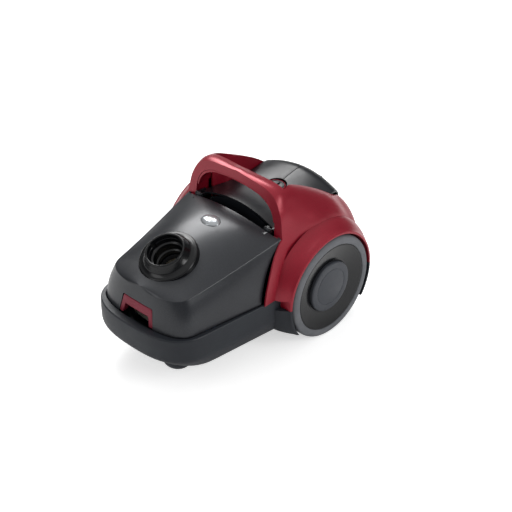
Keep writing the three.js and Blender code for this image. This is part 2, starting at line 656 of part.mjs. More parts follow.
// Opening under the handle bar, drawn in X and Z.
function handleOpening(grow) {
  const side = SIDE - 30 + grow;
  const top = HANDLE_TOP - HANDLE_BAND + grow;
  const shape = new THREE.Shape();
  shape.moveTo(-side, WELL_FLOOR - 3);
  shape.lineTo(side, WELL_FLOOR - 3);
  shape.lineTo(side - 3, SHOULDER_HEIGHT + 18);
  shape.bezierCurveTo(side - 6, top - 20, side - 16, top - 10, side - 36, top - 4);
  shape.quadraticCurveTo(25, top, 0, top);
  shape.quadraticCurveTo(-25, top, 36 - side, top - 4);
  shape.bezierCurveTo(16 - side, top - 10, 6 - side, top - 20, 3 - side, SHOULDER_HEIGHT + 18);
  shape.closePath();
  return shape;
}

const LINER = 3;
const GRILLE_HALF = 62;
const GRILLE_FOOT = SPLIT_Z + 6;
const GRILLE_TOP = SPLIT_Z + 47;
const OUTLET = { x: SIDE - 72, z: GRILLE_TOP + 10, radius: 7 };

function rearShell() {
  const full = loft(shellRings(0));
  const skin = cut(full, loft(shellRings(WALL)));
  const barReach = block(-WIDTH, WIDTH, HANDLE_Y - 2, HANDLE_Y + HANDLE_DEPTH, SHOULDER_HEIGHT - 10, 2 * HANDLE_TOP);
  const keep = join(archCylinder(PARTING_RADIUS), behindHandle(0));
  const well = plate(wellPlan(HANDLE_Y + HANDLE_DEPTH, REAR_Y + 4, 0), WELL_FLOOR, 2 * HANDLE_TOP);
  const under = slab(handleOpening(LINER + FIT), FRONT_Y, HANDLE_Y + HANDLE_DEPTH + EPS, 6);
  const arms = full.intersect(plate(wellPlan(HANDLE_Y, REAR_Y - 6, -WALL), WELL_FLOOR + 6, 2 * HANDLE_TOP));
  const shaped = cut(join(skin, arms, full.intersect(barReach)), well, under);
  const underBand = block(-WIDTH, WIDTH, FRONT_Y, BAND_END_Y + FIT, -5, DECK_LINE + FIT);
  const grille = block(-GRILLE_HALF - FIT, GRILLE_HALF + FIT, REAR_Y - 20, REAR_Y + 5, GRILLE_FOOT - FIT, GRILLE_TOP + FIT);
  const outlet = rod('y', OUTLET.radius + FIT, REAR_Y - 30, REAR_Y + 9, [OUTLET.x, OUTLET.z], 18);
  const flared = join(shaped.intersect(keep), fender(1), fender(-1));
  const low = block(-WIDTH, WIDTH, FRONT_Y, LENGTH, -WIDTH, SPLIT_Z);
  return cut(flared, low, underBand, wheelPocket(1), wheelPocket(-1), axleBore(), grille, outlet);
}

// Inner strip of the handle bar, a separate moulding clipped under it.
function handleLiner() {
  const ring = slab(handleOpening(LINER), HANDLE_Y - 2, HANDLE_Y + HANDLE_DEPTH - RUN, 6)
    .subtract(slab(handleOpening(0), HANDLE_Y - 10, HANDLE_Y + 2 * HANDLE_DEPTH, 6));
  const low = block(-WIDTH, WIDTH, FRONT_Y, LENGTH, 0, SHOULDER_HEIGHT + 20);
  return cut(ring, low).intersect(behindHandle(RUN / 2));
}

// ---- Wheels ----
const HUB_RADIUS = 42;
const DISH_RADIUS = WHEEL_RADIUS - 13.5;
const DISH_DEPTH = 6.5;
const WEB = 3;
const WHEEL_BACK = WHEEL_FACE - WHEEL_WIDTH;

const tyreProfile = () => [[DISH_RADIUS + FIT, WHEEL_BACK], [WHEEL_RADIUS - 3, WHEEL_BACK], [WHEEL_RADIUS, WHEEL_BACK + 3],
  [WHEEL_RADIUS, WHEEL_FACE - 6], [WHEEL_RADIUS - 1.2, WHEEL_FACE - 2.6], [WHEEL_RADIUS - 4, WHEEL_FACE - 0.6],
  [WHEEL_RADIUS - 8, WHEEL_FACE], [DISH_RADIUS + 1, WHEEL_FACE - 0.6], [DISH_RADIUS + FIT, WHEEL_FACE - 1.6]];

const dishProfile = () => {
  const bore = AXLE_DIAMETER / 2 + FIT;
  const floor = WHEEL_FACE - DISH_DEPTH - 1.6;
  return [[bore, WHEEL_BACK + 1], [bore + 5, WHEEL_BACK + 1], [bore + 6, floor - 2 * WEB], [DISH_RADIUS - 4, floor - WEB],
    [DISH_RADIUS - 3, WHEEL_BACK], [DISH_RADIUS, WHEEL_BACK], [DISH_RADIUS, WHEEL_FACE - 1.6],
    [DISH_RADIUS - 2, WHEEL_FACE - 1.6], [HUB_RADIUS + 3, floor], [HUB_RADIUS + FIT, floor],
    [HUB_RADIUS + FIT, floor - WEB + 1], [bore, floor - WEB + 1]];
};

const hubProfile = () => {
  const floor = WHEEL_FACE - DISH_DEPTH - 0.3 - WEB;
  return [[0, floor], [HUB_RADIUS, floor], [HUB_RADIUS, WHEEL_FACE - 4.5], [HUB_RADIUS - 1.5, WHEEL_FACE - 3],
    [0, WHEEL_FACE - 3]];
};

const axleProfile = () => {
  const inner = SIDE - WALL - AXLE_BLOCK - FIT;
  const radius = AXLE_DIAMETER / 2;
  const end = WHEEL_FACE - DISH_DEPTH - WEB - 1;
  return [[0, inner - 3], [radius + 3, inner - 3], [radius + 3, inner], [radius, inner], [radius, end], [0, end]];
};

// ---- Caster ----
const CASTER_PLATE = 3;
const casterWheel = () => turnedX([[2 + FIT, -CASTER_WIDTH / 2], [CASTER_RADIUS - 2, -CASTER_WIDTH / 2],
  [CASTER_RADIUS, 2 - CASTER_WIDTH / 2], [CASTER_RADIUS, CASTER_WIDTH / 2 - 2], [CASTER_RADIUS - 2, CASTER_WIDTH / 2],
  [2 + FIT, CASTER_WIDTH / 2]], 1, CASTER_Y + CASTER_TRAIL, CASTER_RADIUS, 24);
const casterPin = () => rod('x', 2, -CASTER_WIDTH / 2 - 4, CASTER_WIDTH / 2 + 4, [CASTER_Y + CASTER_TRAIL, CASTER_RADIUS], 12);

function casterFork() {
  const inner = CASTER_WIDTH / 2 + RUN;
  const y = CASTER_Y + CASTER_TRAIL;
  const top = 2 * CASTER_RADIUS + RUN;
  const cheeks = [-1, 1].map((side) => {
    const [a, b] = side > 0 ? [inner, inner + 3] : [-inner - 3, -inner];
    return join(block(a, b, y - 8, y + 8, CASTER_RADIUS, top + 1), rod('x', 8, a, b, [y, CASTER_RADIUS], 14));
  });
  const crown = rod('z', CASTER_RADIUS, top, top + CASTER_PLATE, [0, CASTER_Y + CASTER_TRAIL / 2], 20);
  const post = rod('z', CASTER_POST, top, CASTER_TOP - 3 - RUN, [0, CASTER_Y], 18);
  return join(crown, post, ...cheeks).subtract(rod('x', 2 + FIT, -30, 30, [y, CASTER_RADIUS], 12));
}

// ---- Deck, pedals and knob ----
const DECK_FRONT = HANDLE_Y + 2;   // front edge at the gutter's ends; it bows back in the middle
const DECK_BOW = 7;
const DECK_THICK = 3;
const DECK_GAP = 1;               // deck and pedals to the well's wall
const DECK_CURVE = new THREE.SplineCurve([
  new THREE.Vector2(HANDLE_Y, SHOULDER_HEIGHT + 20.5), new THREE.Vector2(HANDLE_Y + 14, SHOULDER_HEIGHT + 20),
  new THREE.Vector2(HANDLE_Y + 42, SHOULDER_HEIGHT + 14), new THREE.Vector2(AXLE_Y + 10, SHOULDER_HEIGHT + 11),
  new THREE.Vector2(AXLE_Y + 35, SHOULDER_HEIGHT + 14), new THREE.Vector2(AXLE_Y + 60, SHOULDER_HEIGHT + 19),
  new THREE.Vector2(AXLE_Y + 78, SHOULDER_HEIGHT + 20), new THREE.Vector2(REAR_Y - 14, SHOULDER_HEIGHT + 9),
  new THREE.Vector2(REAR_Y, SHOULDER_HEIGHT - 16),
]);
const DECK_POINTS = DECK_CURVE.getPoints(64);
const deckMiddle = (y) => readCurve(DECK_POINTS, 'x', 'y', y);

function deckCrown(y) {
  const falling = 1 - THREE.MathUtils.smoothstep(y, HANDLE_Y + 5, HANDLE_Y + 60);
  const rising = THREE.MathUtils.smoothstep(y, AXLE_Y + 5, AXLE_Y + 75);
  return 3 + 12 * falling + 13 * rising;
}

function deckRing(y, drop, shrink, depth) {
  const half = wellHalf(y) - shrink;
  const top = [1, 0.66, 0.33, 0].map((s) => [half * s, deckMiddle(y) - deckCrown(y) * s ** 2 - drop]);
  const under = top.map(([x, z]) => [x, z - depth]);
  const right = [...under.slice().reverse(), ...top];
  const left = [...top.slice(0, -1).reverse(), ...under.slice(0, -1)].map(([x, z]) => [-x, z]);
  return [...right, ...left].map(([x, z]) => new THREE.Vector3(x, y, z));
}

function deckLoft(front, rear, drop, shrink, depth, steps) {
  const rings = [];
  for (let i = 0; i <= steps; i += 1) rings.push(deckRing(mix(front, rear, i / steps), drop, shrink, depth));
  return loft(rings);
}

// Everything ahead of a curve across the deck that bows back in the middle.
function aheadOf(half, ends, middle) {
  const shape = new THREE.Shape();
  shape.moveTo(-half, FRONT_Y);
  shape.lineTo(half, FRONT_Y);
  shape.lineTo(half, ends);
  shape.quadraticCurveTo(0, 2 * middle - ends, -half, ends);
  shape.closePath();
  return shape;
}

const GUTTER_Z = LID_HINGE_Z - 13;
const KNOB_Y = AXLE_Y + 19;
const KNOB_NOTCH = KNOB_DIAMETER / 2 + 2;
const TAIL_Y = PEDAL_REAR;
const STEM = 5;
const pedalX = (side) => side * (SIDE - 78);
const PEDAL_STEM_Y = AXLE_Y + 52;
const stemHole = (side) => rod('z', STEM + FIT, SHOULDER_HEIGHT - 60, HANDLE_TOP, [pedalX(side), PEDAL_STEM_Y], 20);

function deckPanel() {
  const front = deckLoft(DECK_FRONT, PEDAL_FRONT - FIT, 0, DECK_GAP, DECK_THICK, 5);
  const shelf = deckLoft(PEDAL_FRONT - 3, TAIL_Y + 3, PEDAL_DROP, DECK_GAP + 1, DECK_THICK, 4);
  const riser = deckLoft(PEDAL_FRONT - 4, PEDAL_FRONT - 1, 1, DECK_GAP + 2, PEDAL_DROP + 0.4, 1);
  const tailRiser = deckLoft(TAIL_Y + 1, TAIL_Y + 4, 1, DECK_GAP + 2, PEDAL_DROP + DECK_THICK - 2.5, 1);
  const tail = deckLoft(TAIL_Y + FIT, REAR_Y, 0, DECK_GAP, DECK_THICK + 5, 3);
  const deck = join(front, shelf, riser, tailRiser, tail, knobCup());
  const ears = [-1, 1].flatMap((side) => [-6.5, 3.5].map((x) => {
    const left = side * EAR_X + x;
    return join(block(left, left + 3, LID_HINGE_Y, DECK_FRONT + 14, LID_HINGE_Z - EAR_RADIUS, LID_HINGE_Z + 1.5),
      rod('x', EAR_RADIUS, left, left + 3, [LID_HINGE_Y, LID_HINGE_Z], 16));
  }));
  const opening = plate(aheadOf(SIDE, DECK_FRONT, DECK_FRONT + DECK_BOW), 0, 2 * HANDLE_TOP);
  const floor = block(12 - EAR_X, EAR_X - 12, HANDLE_Y - 8, DECK_FRONT + 16, GUTTER_Z - 2, GUTTER_Z);
  const back = deckLoft(DECK_FRONT, DECK_FRONT + 16, DECK_THICK - 1, EAR_X - 82 + 30, 26, 2)
    .intersect(plate(aheadOf(SIDE, DECK_FRONT + 2.5, DECK_FRONT + DECK_BOW + 2.5), GUTTER_Z - 1, 2 * HANDLE_TOP));
  const trimmed = deck.add(back).subtract(opening).add(floor);
  const knobBore = rod('z', 4 + FIT, SHOULDER_HEIGHT - 40, 2 * HANDLE_TOP, [0, KNOB_Y], 20);
  const knobSeat = rod('z', KNOB_DIAMETER / 2 + RUN, deckMiddle(KNOB_Y) - 7, 2 * HANDLE_TOP, [0, KNOB_Y], 20);
  const below = block(-WIDTH, WIDTH, TAIL_Y, LENGTH, 0, WELL_FLOOR + FIT);
  return cut(join(trimmed, ...ears, ...BOARD_BOSSES.map(boardBoss)), below, hingeBore(), knobSeat, knobBore, stemHole(1), stemHole(-1));
}

const knobCup = () => rod('z', KNOB_NOTCH - FIT, deckMiddle(KNOB_Y) - PEDAL_DROP - 2, deckMiddle(KNOB_Y) - 1,
  [0, KNOB_Y], 20);

const PEDAL_SPLIT = 0.5;          // half the gap between the two pedals

function pedalRing(y, side) {
  const half = wellHalf(y) - DECK_GAP - FIT;
  const top = [half, half * 0.66, half * 0.33, PEDAL_SPLIT]
    .map((x) => [x, deckMiddle(y) - deckCrown(y) * (x / half) ** 2]);
  const under = top.map(([x, z]) => [x, z - DECK_THICK]).reverse();
  return [...top, ...under].map(([x, z]) => new THREE.Vector3(side * x, y, z));
}

function pedal(side) {
  const rings = [];
  for (let i = 0; i <= 6; i += 1) rings.push(pedalRing(mix(PEDAL_FRONT, TAIL_Y, i / 6), side));
  const skin = loft(rings);
  const notch = rod('z', KNOB_NOTCH, 0, 2 * HANDLE_TOP, [0, KNOB_Y], 20);
  const x = pedalX(side);
  const top = deckMiddle(PEDAL_STEM_Y) - deckCrown(PEDAL_STEM_Y) * (x / wellHalf(PEDAL_STEM_Y)) ** 2;
  const foot = side > 0 ? BRAKE_Z + 1.6 + FIT : SWITCH_TOP + PEDAL_TRAVEL + FIT;
  const stem = rod('z', STEM, foot, top - 2.1, [x, PEDAL_STEM_Y], 16);
  return join(skin.subtract(notch), stem);
}

function knob() {
  const z = deckMiddle(KNOB_Y) - 7 + FIT;
  const r = KNOB_DIAMETER / 2;
  return turnedZ([[0, z - 20], [4, z - 20], [4, z], [r, z], [r, z + 6], [r - 1, z + 7.5], [r - 4, z + 8],
    [r - 5, z + 7], [0, z + 7]], 0, KNOB_Y, 0, 24);
}

function pedalSpring(side) {
  const x = pedalX(side);
  const shelf = deckMiddle(PEDAL_STEM_Y) - deckCrown(PEDAL_STEM_Y) * (x / wellHalf(PEDAL_STEM_Y)) ** 2 - PEDAL_DROP;
  return coil(STEM + 1.8, 1.2, 3, PEDAL_DROP - DECK_THICK - 2.8, new THREE.Vector3(x, PEDAL_STEM_Y, shelf + 1.2), 'z');
}

// ---- Rear: exhaust grille, filter, parking fork and cord outlet ----
const GRILLE_THICK = 3;
const GRILLE_HINGE = 2;           // radius of its foot, and the axis's distance from the outer face and the foot

function grille() {
  const axis = [REAR_Y - GRILLE_HINGE, GRILLE_FOOT + GRILLE_HINGE];
  const panel = block(-GRILLE_HALF, GRILLE_HALF, REAR_Y - GRILLE_THICK, REAR_Y, axis[1], GRILLE_TOP);
  const slots = [];
  for (let z = GRILLE_FOOT + 6; z < GRILLE_TOP - 7; z += 7) {
    slots.push(block(-GRILLE_HALF + 8, -3, REAR_Y - 10, REAR_Y + 5, z, z + 3.5));
    slots.push(block(3, GRILLE_HALF - 8, REAR_Y - 10, REAR_Y + 5, z, z + 3.5));
  }
  const hinge = rod('x', GRILLE_HINGE, -GRILLE_HALF, GRILLE_HALF, axis, 16);
  return join(cut(panel, ...slots), hinge);
}

// Pleated exhaust filter: a zigzag sheet in plan.
function exhaustFilter() {
  const half = GRILLE_HALF - 4;
  const [near, far] = [REAR_Y - GRILLE_THICK - FIT - 2.6, REAR_Y - 24];
  const shape = new THREE.Shape();
  const pleats = 12;
  shape.moveTo(-half, near);
  for (let i = 0; i < pleats; i += 1) {
    shape.lineTo(mix(-half, half, (i + 0.5) / pleats), near - 9);
    shape.lineTo(mix(-half, half, (i + 1) / pleats), near);
  }
  shape.lineTo(half, far);
  shape.lineTo(-half, far);
  shape.closePath();
  return plate(shape, GRILLE_FOOT + 3, GRILLE_TOP - 3);
}

function filterFrame() {
  const half = GRILLE_HALF;
  const [near, far] = [REAR_Y - GRILLE_THICK - FIT - 2.4, REAR_Y - 24];
  const frame = block(-half, half, far, near, GRILLE_FOOT + FIT, GRILLE_TOP - FIT);
  const core = block(-half + 4 - FIT, half - 4 + FIT, far - 1, near + 1, GRILLE_FOOT + 3 - FIT, GRILLE_TOP - 3 + FIT);
  return frame.subtract(core);
}

const PRONG_GAP = 6;
const PRONG_WIDE = 11.5;

// Two hooked prongs on the tail of the deck that hold the floor tool's rib.
function parkingFork() {
  const y = REAR_Y + FIT;
  const z = deckMiddle(REAR_Y - 6);
  const back = block(-PRONG_GAP / 2 - PRONG_WIDE, PRONG_GAP / 2 + PRONG_WIDE, y, y + 2, WELL_FLOOR + 4, WELL_FLOOR + 12);
  const prongs = [-1, 1].map((side) => {
    const x = side * (PRONG_GAP + PRONG_WIDE) / 2;
    return block(x - PRONG_WIDE / 2, x + PRONG_WIDE / 2, y, LENGTH / 2, WELL_FLOOR + 4, z - 4);
  });
  return join(back, ...prongs);
}

const cordOutlet = () => {
  const { x, z, radius } = OUTLET;
  const geometry = turned([[4, -7], [radius, -7], [radius, -FIT], [radius + 2, -FIT], [radius + 2, 2], [radius, 3.2],
    [5, 3.2], [4, 2]], 18);
  geometry.translate(x, REAR_Y + FIT * 2, z);
  return solid(geometry);
};

// ---- Bag and its holder ----
const PLATE_DROP = -27;
const HOLDER_X = 76;

function inletPlate(half, deep, z0, z1, hole) {
  const shape = new THREE.Shape();
  shape.moveTo(-half, -deep);
  shape.lineTo(half, -deep);
  shape.lineTo(half, deep);
  shape.lineTo(-half, deep);
  shape.closePath();
  shape.holes.push(new THREE.Path().absarc(0, 0, hole, 0, 2 * Math.PI, true));
  const geometry = new THREE.ExtrudeGeometry(shape, { depth: z1 - z0, bevelEnabled: false, curveSegments: 8 });
  geometry.translate(0, 0, z0);
  geometry.rotateX(INLET_TILT);
  geometry.translate(0, INLET_Y, coverTop(0, INLET_Y) + INLET_SINK);
  return solid(geometry);
}

const bagPlate = () => inletPlate(52, 40, PLATE_DROP, PLATE_DROP + 2.4, 19);

function bagHolder() {
  const ring = inletPlate(HOLDER_X - 1, 34, PLATE_DROP - FIT - 3, PLATE_DROP - FIT, 30);
  const y = INLET_Y + 8;
  const z = coverTop(0, INLET_Y) + INLET_SINK + PLATE_DROP;
  const legs = [-1, 1].map((side) => {
    const [a, b] = side > 0 ? [HOLDER_X - 4, HOLDER_X] : [-HOLDER_X, 4 - HOLDER_X];
    return block(a, b, y - 12, y + 12, BELLY + WALL + FIT, z);
  });
  return join(ring, ...legs);
}

// The filter bag, full, lying in the tub below its plate.
function dustBag() {
  const [front, rear] = [COVER_FRONT + LATCH_POCKET + 12, BULKHEAD_Y - 26];
  const half = HOLDER_X - 7;
  const foot = CASTER_TOP + 3;
  const tops = [112, 142, 158, 162, 158, 150, 140, 116];
  const rings = tops.map((top, i) => {
    const s = i / (tops.length - 1);
    const swell = Math.sin(Math.PI * mix(0.12, 0.88, s)) ** 0.35;
    const [w, h] = [half * swell, (top - foot) / 2];
    const loop = [];
    for (let k = 0; k < 14; k += 1) {
      const turn = (k / 14) * 2 * Math.PI;
      const square = (v) => Math.sign(v) * Math.abs(v) ** 0.6;
      loop.push(new THREE.Vector3(w * square(Math.cos(turn)), mix(front, rear, s), foot + h + h * square(Math.sin(turn)) * swell));
    }
    return loop;
  });
  const above = inletPlaced(turned([[0, PLATE_DROP - 3 - 2 * FIT], [300, PLATE_DROP - 3 - 2 * FIT], [300, 200], [0, 200]], 8));
  const neck = inletPlaced(turned([[19, PLATE_DROP - 14], [27, PLATE_DROP - 14], [27, PLATE_DROP - FIT], [19, PLATE_DROP - FIT]], 16));
  return loft(rings).subtract(above).add(neck);
}

// ---- Bulkhead and motor filter ----
const BULKHEAD = 2.5;
const WINDOW = { half: 56, foot: 74, top: 150 };

function bulkhead() {
  const half = SIDE - WALL - 3;
  const shape = new THREE.Shape();
  const [foot, top] = [BELLY + WALL + FIT, SHOULDER_HEIGHT - 14];
  shape.moveTo(-half + 15, foot);
  shape.lineTo(half - 15, foot);
  shape.lineTo(half, foot + 24);
  shape.lineTo(half, DECK_LINE + 35);
  shape.lineTo(half - 28, top);
  shape.lineTo(28 - half, top);
  shape.lineTo(-half, DECK_LINE + 35);
  shape.lineTo(-half, foot + 24);
  shape.closePath();
  const wall = slab(shape, BULKHEAD_Y, BULKHEAD_Y + BULKHEAD);
  const bars = [];
  for (let x = -WINDOW.half; x < WINDOW.half - 4; x += 14) {
    bars.push(block(x, x + 10, BULKHEAD_Y - 5, BULKHEAD_Y + 8, WINDOW.foot, WINDOW.top));
  }
  const rim = frameY(WINDOW.half + 5, BULKHEAD_Y - 9, BULKHEAD_Y, WINDOW.foot - 5, WINDOW.top + 5, 2);
  return join(cut(wall, ...bars), rim);
}

// Rectangular frame standing in X and Z, with its thickness along Y.
function frameY(half, y0, y1, z0, z1, wall) {
  return block(-half, half, y0, y1, z0, z1)
    .subtract(block(-half + wall, half - wall, y0 - 1, y1 + 1, z0 + wall, z1 - wall));
}

const motorFilter = () => block(-WINDOW.half - 2.5, WINDOW.half + 2.5, BULKHEAD_Y - 7.6, BULKHEAD_Y - FIT,
  WINDOW.foot - 2.5, WINDOW.top + 2.5);
const filterGrid = () => {
  const grid = frameY(WINDOW.half + 8, BULKHEAD_Y - 11.6, BULKHEAD_Y - 9.3, WINDOW.foot - 8, WINDOW.top + 8, 6);
  const ribs = [-1, 0, 1].map((i) => block(i * 28 - 1.2, i * 28 + 1.2, BULKHEAD_Y - 11.6, BULKHEAD_Y - 9.3,
    WINDOW.foot - 4, WINDOW.top + 4));
  return join(grid, ...ribs);
};

// ---- Motor and fan ----
const MOTOR_X = -(SIDE - WALL - MOTOR_RADIUS - 20);
const MOTOR_Z = BELLY + WALL + MOTOR_RADIUS + 6;
const MOTOR_FRONT = BULKHEAD_Y + BULKHEAD + 4;
const MOTOR_LENGTH = 92;
const FAN_RADIUS = MOTOR_RADIUS - 9;

const turnedY = (profile, x, y, z, segments) => {
  const geometry = turned(profile, segments);
  geometry.translate(x, y, z);
  return solid(geometry);
};
const onMotor = (profile, segments = 18) => turnedY(profile, MOTOR_X, MOTOR_FRONT, MOTOR_Z, segments);

// Housing: a can open at the rear, with an eye in front and vents round its tail.
function motorHousing() {
  const r = MOTOR_RADIUS;
  const can = onMotor([[20, 0], [r, 0], [r, MOTOR_LENGTH], [r - WALL, MOTOR_LENGTH], [r - WALL, WALL], [20, WALL]]);
  const feet = [-1, 1].map((side) => block(MOTOR_X + side * 24 - 4, MOTOR_X + side * 24 + 4, MOTOR_FRONT + 10,
    MOTOR_FRONT + MOTOR_LENGTH - 8, BELLY + WALL + FIT, MOTOR_Z - r * 0.7));
  const bore = onMotor([[0, WALL], [r - WALL, WALL], [r - WALL, MOTOR_LENGTH + 9], [0, MOTOR_LENGTH + 9]]);
  return join(can, ...feet.map((foot) => foot.subtract(bore)));
}

const motorGasket = () => onMotor([[24, FIT - 4], [MOTOR_RADIUS - 6, FIT - 4], [MOTOR_RADIUS - 6, -FIT], [24, -FIT]]);
const fanCover = () => onMotor([[14, 4], [FAN_RADIUS + 4, 4], [FAN_RADIUS + 4, 20], [FAN_RADIUS + 2, 20],
  [FAN_RADIUS + 2, 6], [14, 6]]);
const motorBody = () => onMotor([[4 + RUN, 24], [FAN_RADIUS + 4, 24], [FAN_RADIUS + 4, 30], [30, 32], [30, 78],
  [12, 80], [12, 88], [4 + RUN, 88]]);
const rotorShaft = () => onMotor([[0, 8], [4, 8], [4, 90.5], [0, 90.5]], 16);
const mountRing = () => onMotor([[30 + FIT, 60], [MOTOR_RADIUS - WALL - FIT, 60], [MOTOR_RADIUS - WALL - FIT, 70],
  [30 + FIT, 70]]);
const fanRing = () => onMotor([[FAN_RADIUS + 4 + FIT, 8], [MOTOR_RADIUS - WALL - FIT, 8],
  [MOTOR_RADIUS - WALL - FIT, 29], [FAN_RADIUS + 4 + FIT, 29]]);

function impeller() {
  const back = onMotor([[4 + FIT, 18], [FAN_RADIUS, 18], [FAN_RADIUS, 19.5], [4 + FIT, 19.5]]);
  const hub = onMotor([[4 + FIT, 11], [9, 11], [11, 18.5], [4 + FIT, 18.5]], 18);
  const blades = [];
  for (let i = 0; i < 6; i += 1) {
    const geometry = new THREE.BoxGeometry(FAN_RADIUS - 12, 9.5, 1.4);
    geometry.translate((FAN_RADIUS + 6) / 2, 0, 0);
    geometry.rotateY(0.35);
    geometry.rotateY((i / 6) * 2 * Math.PI);
    geometry.translate(MOTOR_X, MOTOR_FRONT + 13.6, MOTOR_Z);
    blades.push(solid(geometry));
  }
  return join(back, hub, ...blades);
}

// ---- Cord reel and brake ----
const REEL_HALF = 24;
const REEL_X = SIDE - WALL - AXLE_BLOCK - REEL_HALF - 9;
const REEL_Y = AXLE_Y + 16;
const REEL_Z = BELLY + WALL + REEL_RADIUS + 3;
const onReel = (profile, segments = 20) => turnedX(profile, -1, REEL_Y, REEL_Z, segments)
  .translate([REEL_X, 0, 0]);

const reelDrum = () => onReel([[6 + FIT, -REEL_HALF], [REEL_RADIUS, -REEL_HALF], [REEL_RADIUS, -REEL_HALF + 2],
  [34, -REEL_HALF + 2], [34, REEL_HALF - 2], [REEL_RADIUS, REEL_HALF - 2], [REEL_RADIUS, REEL_HALF], [6 + FIT, REEL_HALF]]);
const reelSpringCase = () => onReel([[0, REEL_HALF + RUN], [30, REEL_HALF + RUN], [30, REEL_HALF + 8], [0, REEL_HALF + 8]], 24);

// Bracket on the tub floor that carries the reel's spindle, its spring case and the brake's pivot.
const STAND = 3;
const STAND_X = REEL_X - REEL_HALF - 8 - FIT - STAND;
const BRAKE_Y = REEL_Y + 12;
const BRAKE_Z = REEL_Z + REEL_RADIUS + 6;
const BRAKE_PIN_RADIUS = 1.5;
const brakeBore = () => rod('x', BRAKE_PIN_RADIUS + FIT, STAND_X - 2, REEL_X, [BRAKE_Y, BRAKE_Z], 12);

function reelBracket() {
  const outer = REEL_X + REEL_HALF + RUN;
  const foot = BELLY + WALL + FIT;
  const stands = [STAND_X, outer].map((x) => join(block(x, x + STAND, REEL_Y - 14, REEL_Y + 14, foot, REEL_Z),
    rod('x', 14, x, x + STAND, [REEL_Y, REEL_Z], 20)));
  const post = block(STAND_X, STAND_X + STAND, BRAKE_Y - 5, BRAKE_Y + 5, REEL_Z - 10, BRAKE_Z + 5);
  const base = block(STAND_X, outer + STAND, REEL_Y - 14, REEL_Y + 14, foot, foot + 2);
  const bore = rod('x', 6 + FIT, outer - 1, outer + STAND + 1, [REEL_Y, REEL_Z], 20);
  return cut(join(...stands, base, post), bore, brakeBore());
}

const reelSpindle = () => onReel([[0, -REEL_HALF - RUN - STAND], [6, -REEL_HALF - RUN - STAND], [6, REEL_HALF + RUN - FIT],
  [0, REEL_HALF + RUN - FIT]], 20);

// Rocker under the rewind pedal: its front end carries the shoe that holds the reel's rim.
function brakeLever() {
  const left = STAND_X + STAND + RUN;
  const right = REEL_X - REEL_HALF + 4;
  const arm = block(left, right, BRAKE_Y - 26, PEDAL_STEM_Y + 3, BRAKE_Z - 1.6, BRAKE_Z + 1.6);
  const shoe = block(REEL_X - REEL_HALF - 2, right, BRAKE_Y - 28, BRAKE_Y - 22, BRAKE_Z - 6, BRAKE_Z + 1.6);
  const boss = rod('x', 4, left, right, [BRAKE_Y, BRAKE_Z], 16);
  return cut(join(arm, shoe, boss), brakeBore());
}

const brakePin = () => rod('x', BRAKE_PIN_RADIUS, STAND_X, REEL_X - REEL_HALF + 5, [BRAKE_Y, BRAKE_Z], 12);

// ---- Circuit board and power switch ----
const BOARD = { left: -SIDE + 60, right: 14, front: AXLE_Y - 32, rear: AXLE_Y + 60, z: SHOULDER_HEIGHT - 26, thick: 1.6 };
const SWITCH_TOP = BOARD.z + BOARD.thick + 10;
const BOARD_BOSSES = [[BOARD.left + 6, BOARD.front + 6], [BOARD.right - 6, BOARD.front + 6],
  [BOARD.left + 6, KNOB_Y + 12]];
const boardBoss = ([x, y]) => rod('z', 3.5, BOARD.z + BOARD.thick + FIT,
  deckMiddle(y) - (y > PEDAL_FRONT ? PEDAL_DROP : 0) - 2.5, [x, y], 14);

// Board with the speed control's socket, a capacitor, a heat sink and a terminal block.
function circuitBoard() {
  const { left, right, front, rear, z, thick } = BOARD;
  const top = z + thick;
  const sheet = block(left, right, front, rear, z, top);
  const control = rod('z', 9, top - 0.5, top + 16, [0, KNOB_Y], 20)
    .subtract(rod('z', 4 + FIT, top + 4, top + 20, [0, KNOB_Y], 20));
  const capacitor = rod('z', 7, top - 0.5, top + 14, [left + 20, front + 16], 16);
  const sink = block(left + 32, left + 50, front + 8, front + 26, top - 0.5, top + 12);
  const terminals = block(left + 4, left + 16, KNOB_Y - 14, KNOB_Y + 4, top - 0.5, top + 9);
  return join(sheet, control, capacitor, sink, terminals);
}

const powerSwitch = () => block(pedalX(-1) - 9, pedalX(-1) + 9, PEDAL_STEM_Y - 7, PEDAL_STEM_Y + 7,
  BOARD.z + BOARD.thick + FIT, SWITCH_TOP);

// ---- Model assembly ----
const model = new THREE.Group();
model.name = 'canister_vacuum_cleaner';

function add(name, piece, color, roughness = 0.5, metalness = 0) {
  const geometry = piece.isBufferGeometry ? piece : geometryOf(piece);
  const material = new THREE.MeshStandardMaterial({ color, roughness, metalness });
  const mesh = new THREE.Mesh(geometry, material);
  mesh.name = name;
  model.add(mesh);
}

const DARK = '#3b3f47';
const BLACK = '#202327';
const RED = '#9c2a3a';
const STEEL = '#b0b3b8';
const GREY = '#6a6c70';
const FOAM = '#4a4c50';
const PAPER = '#cfc9b8';

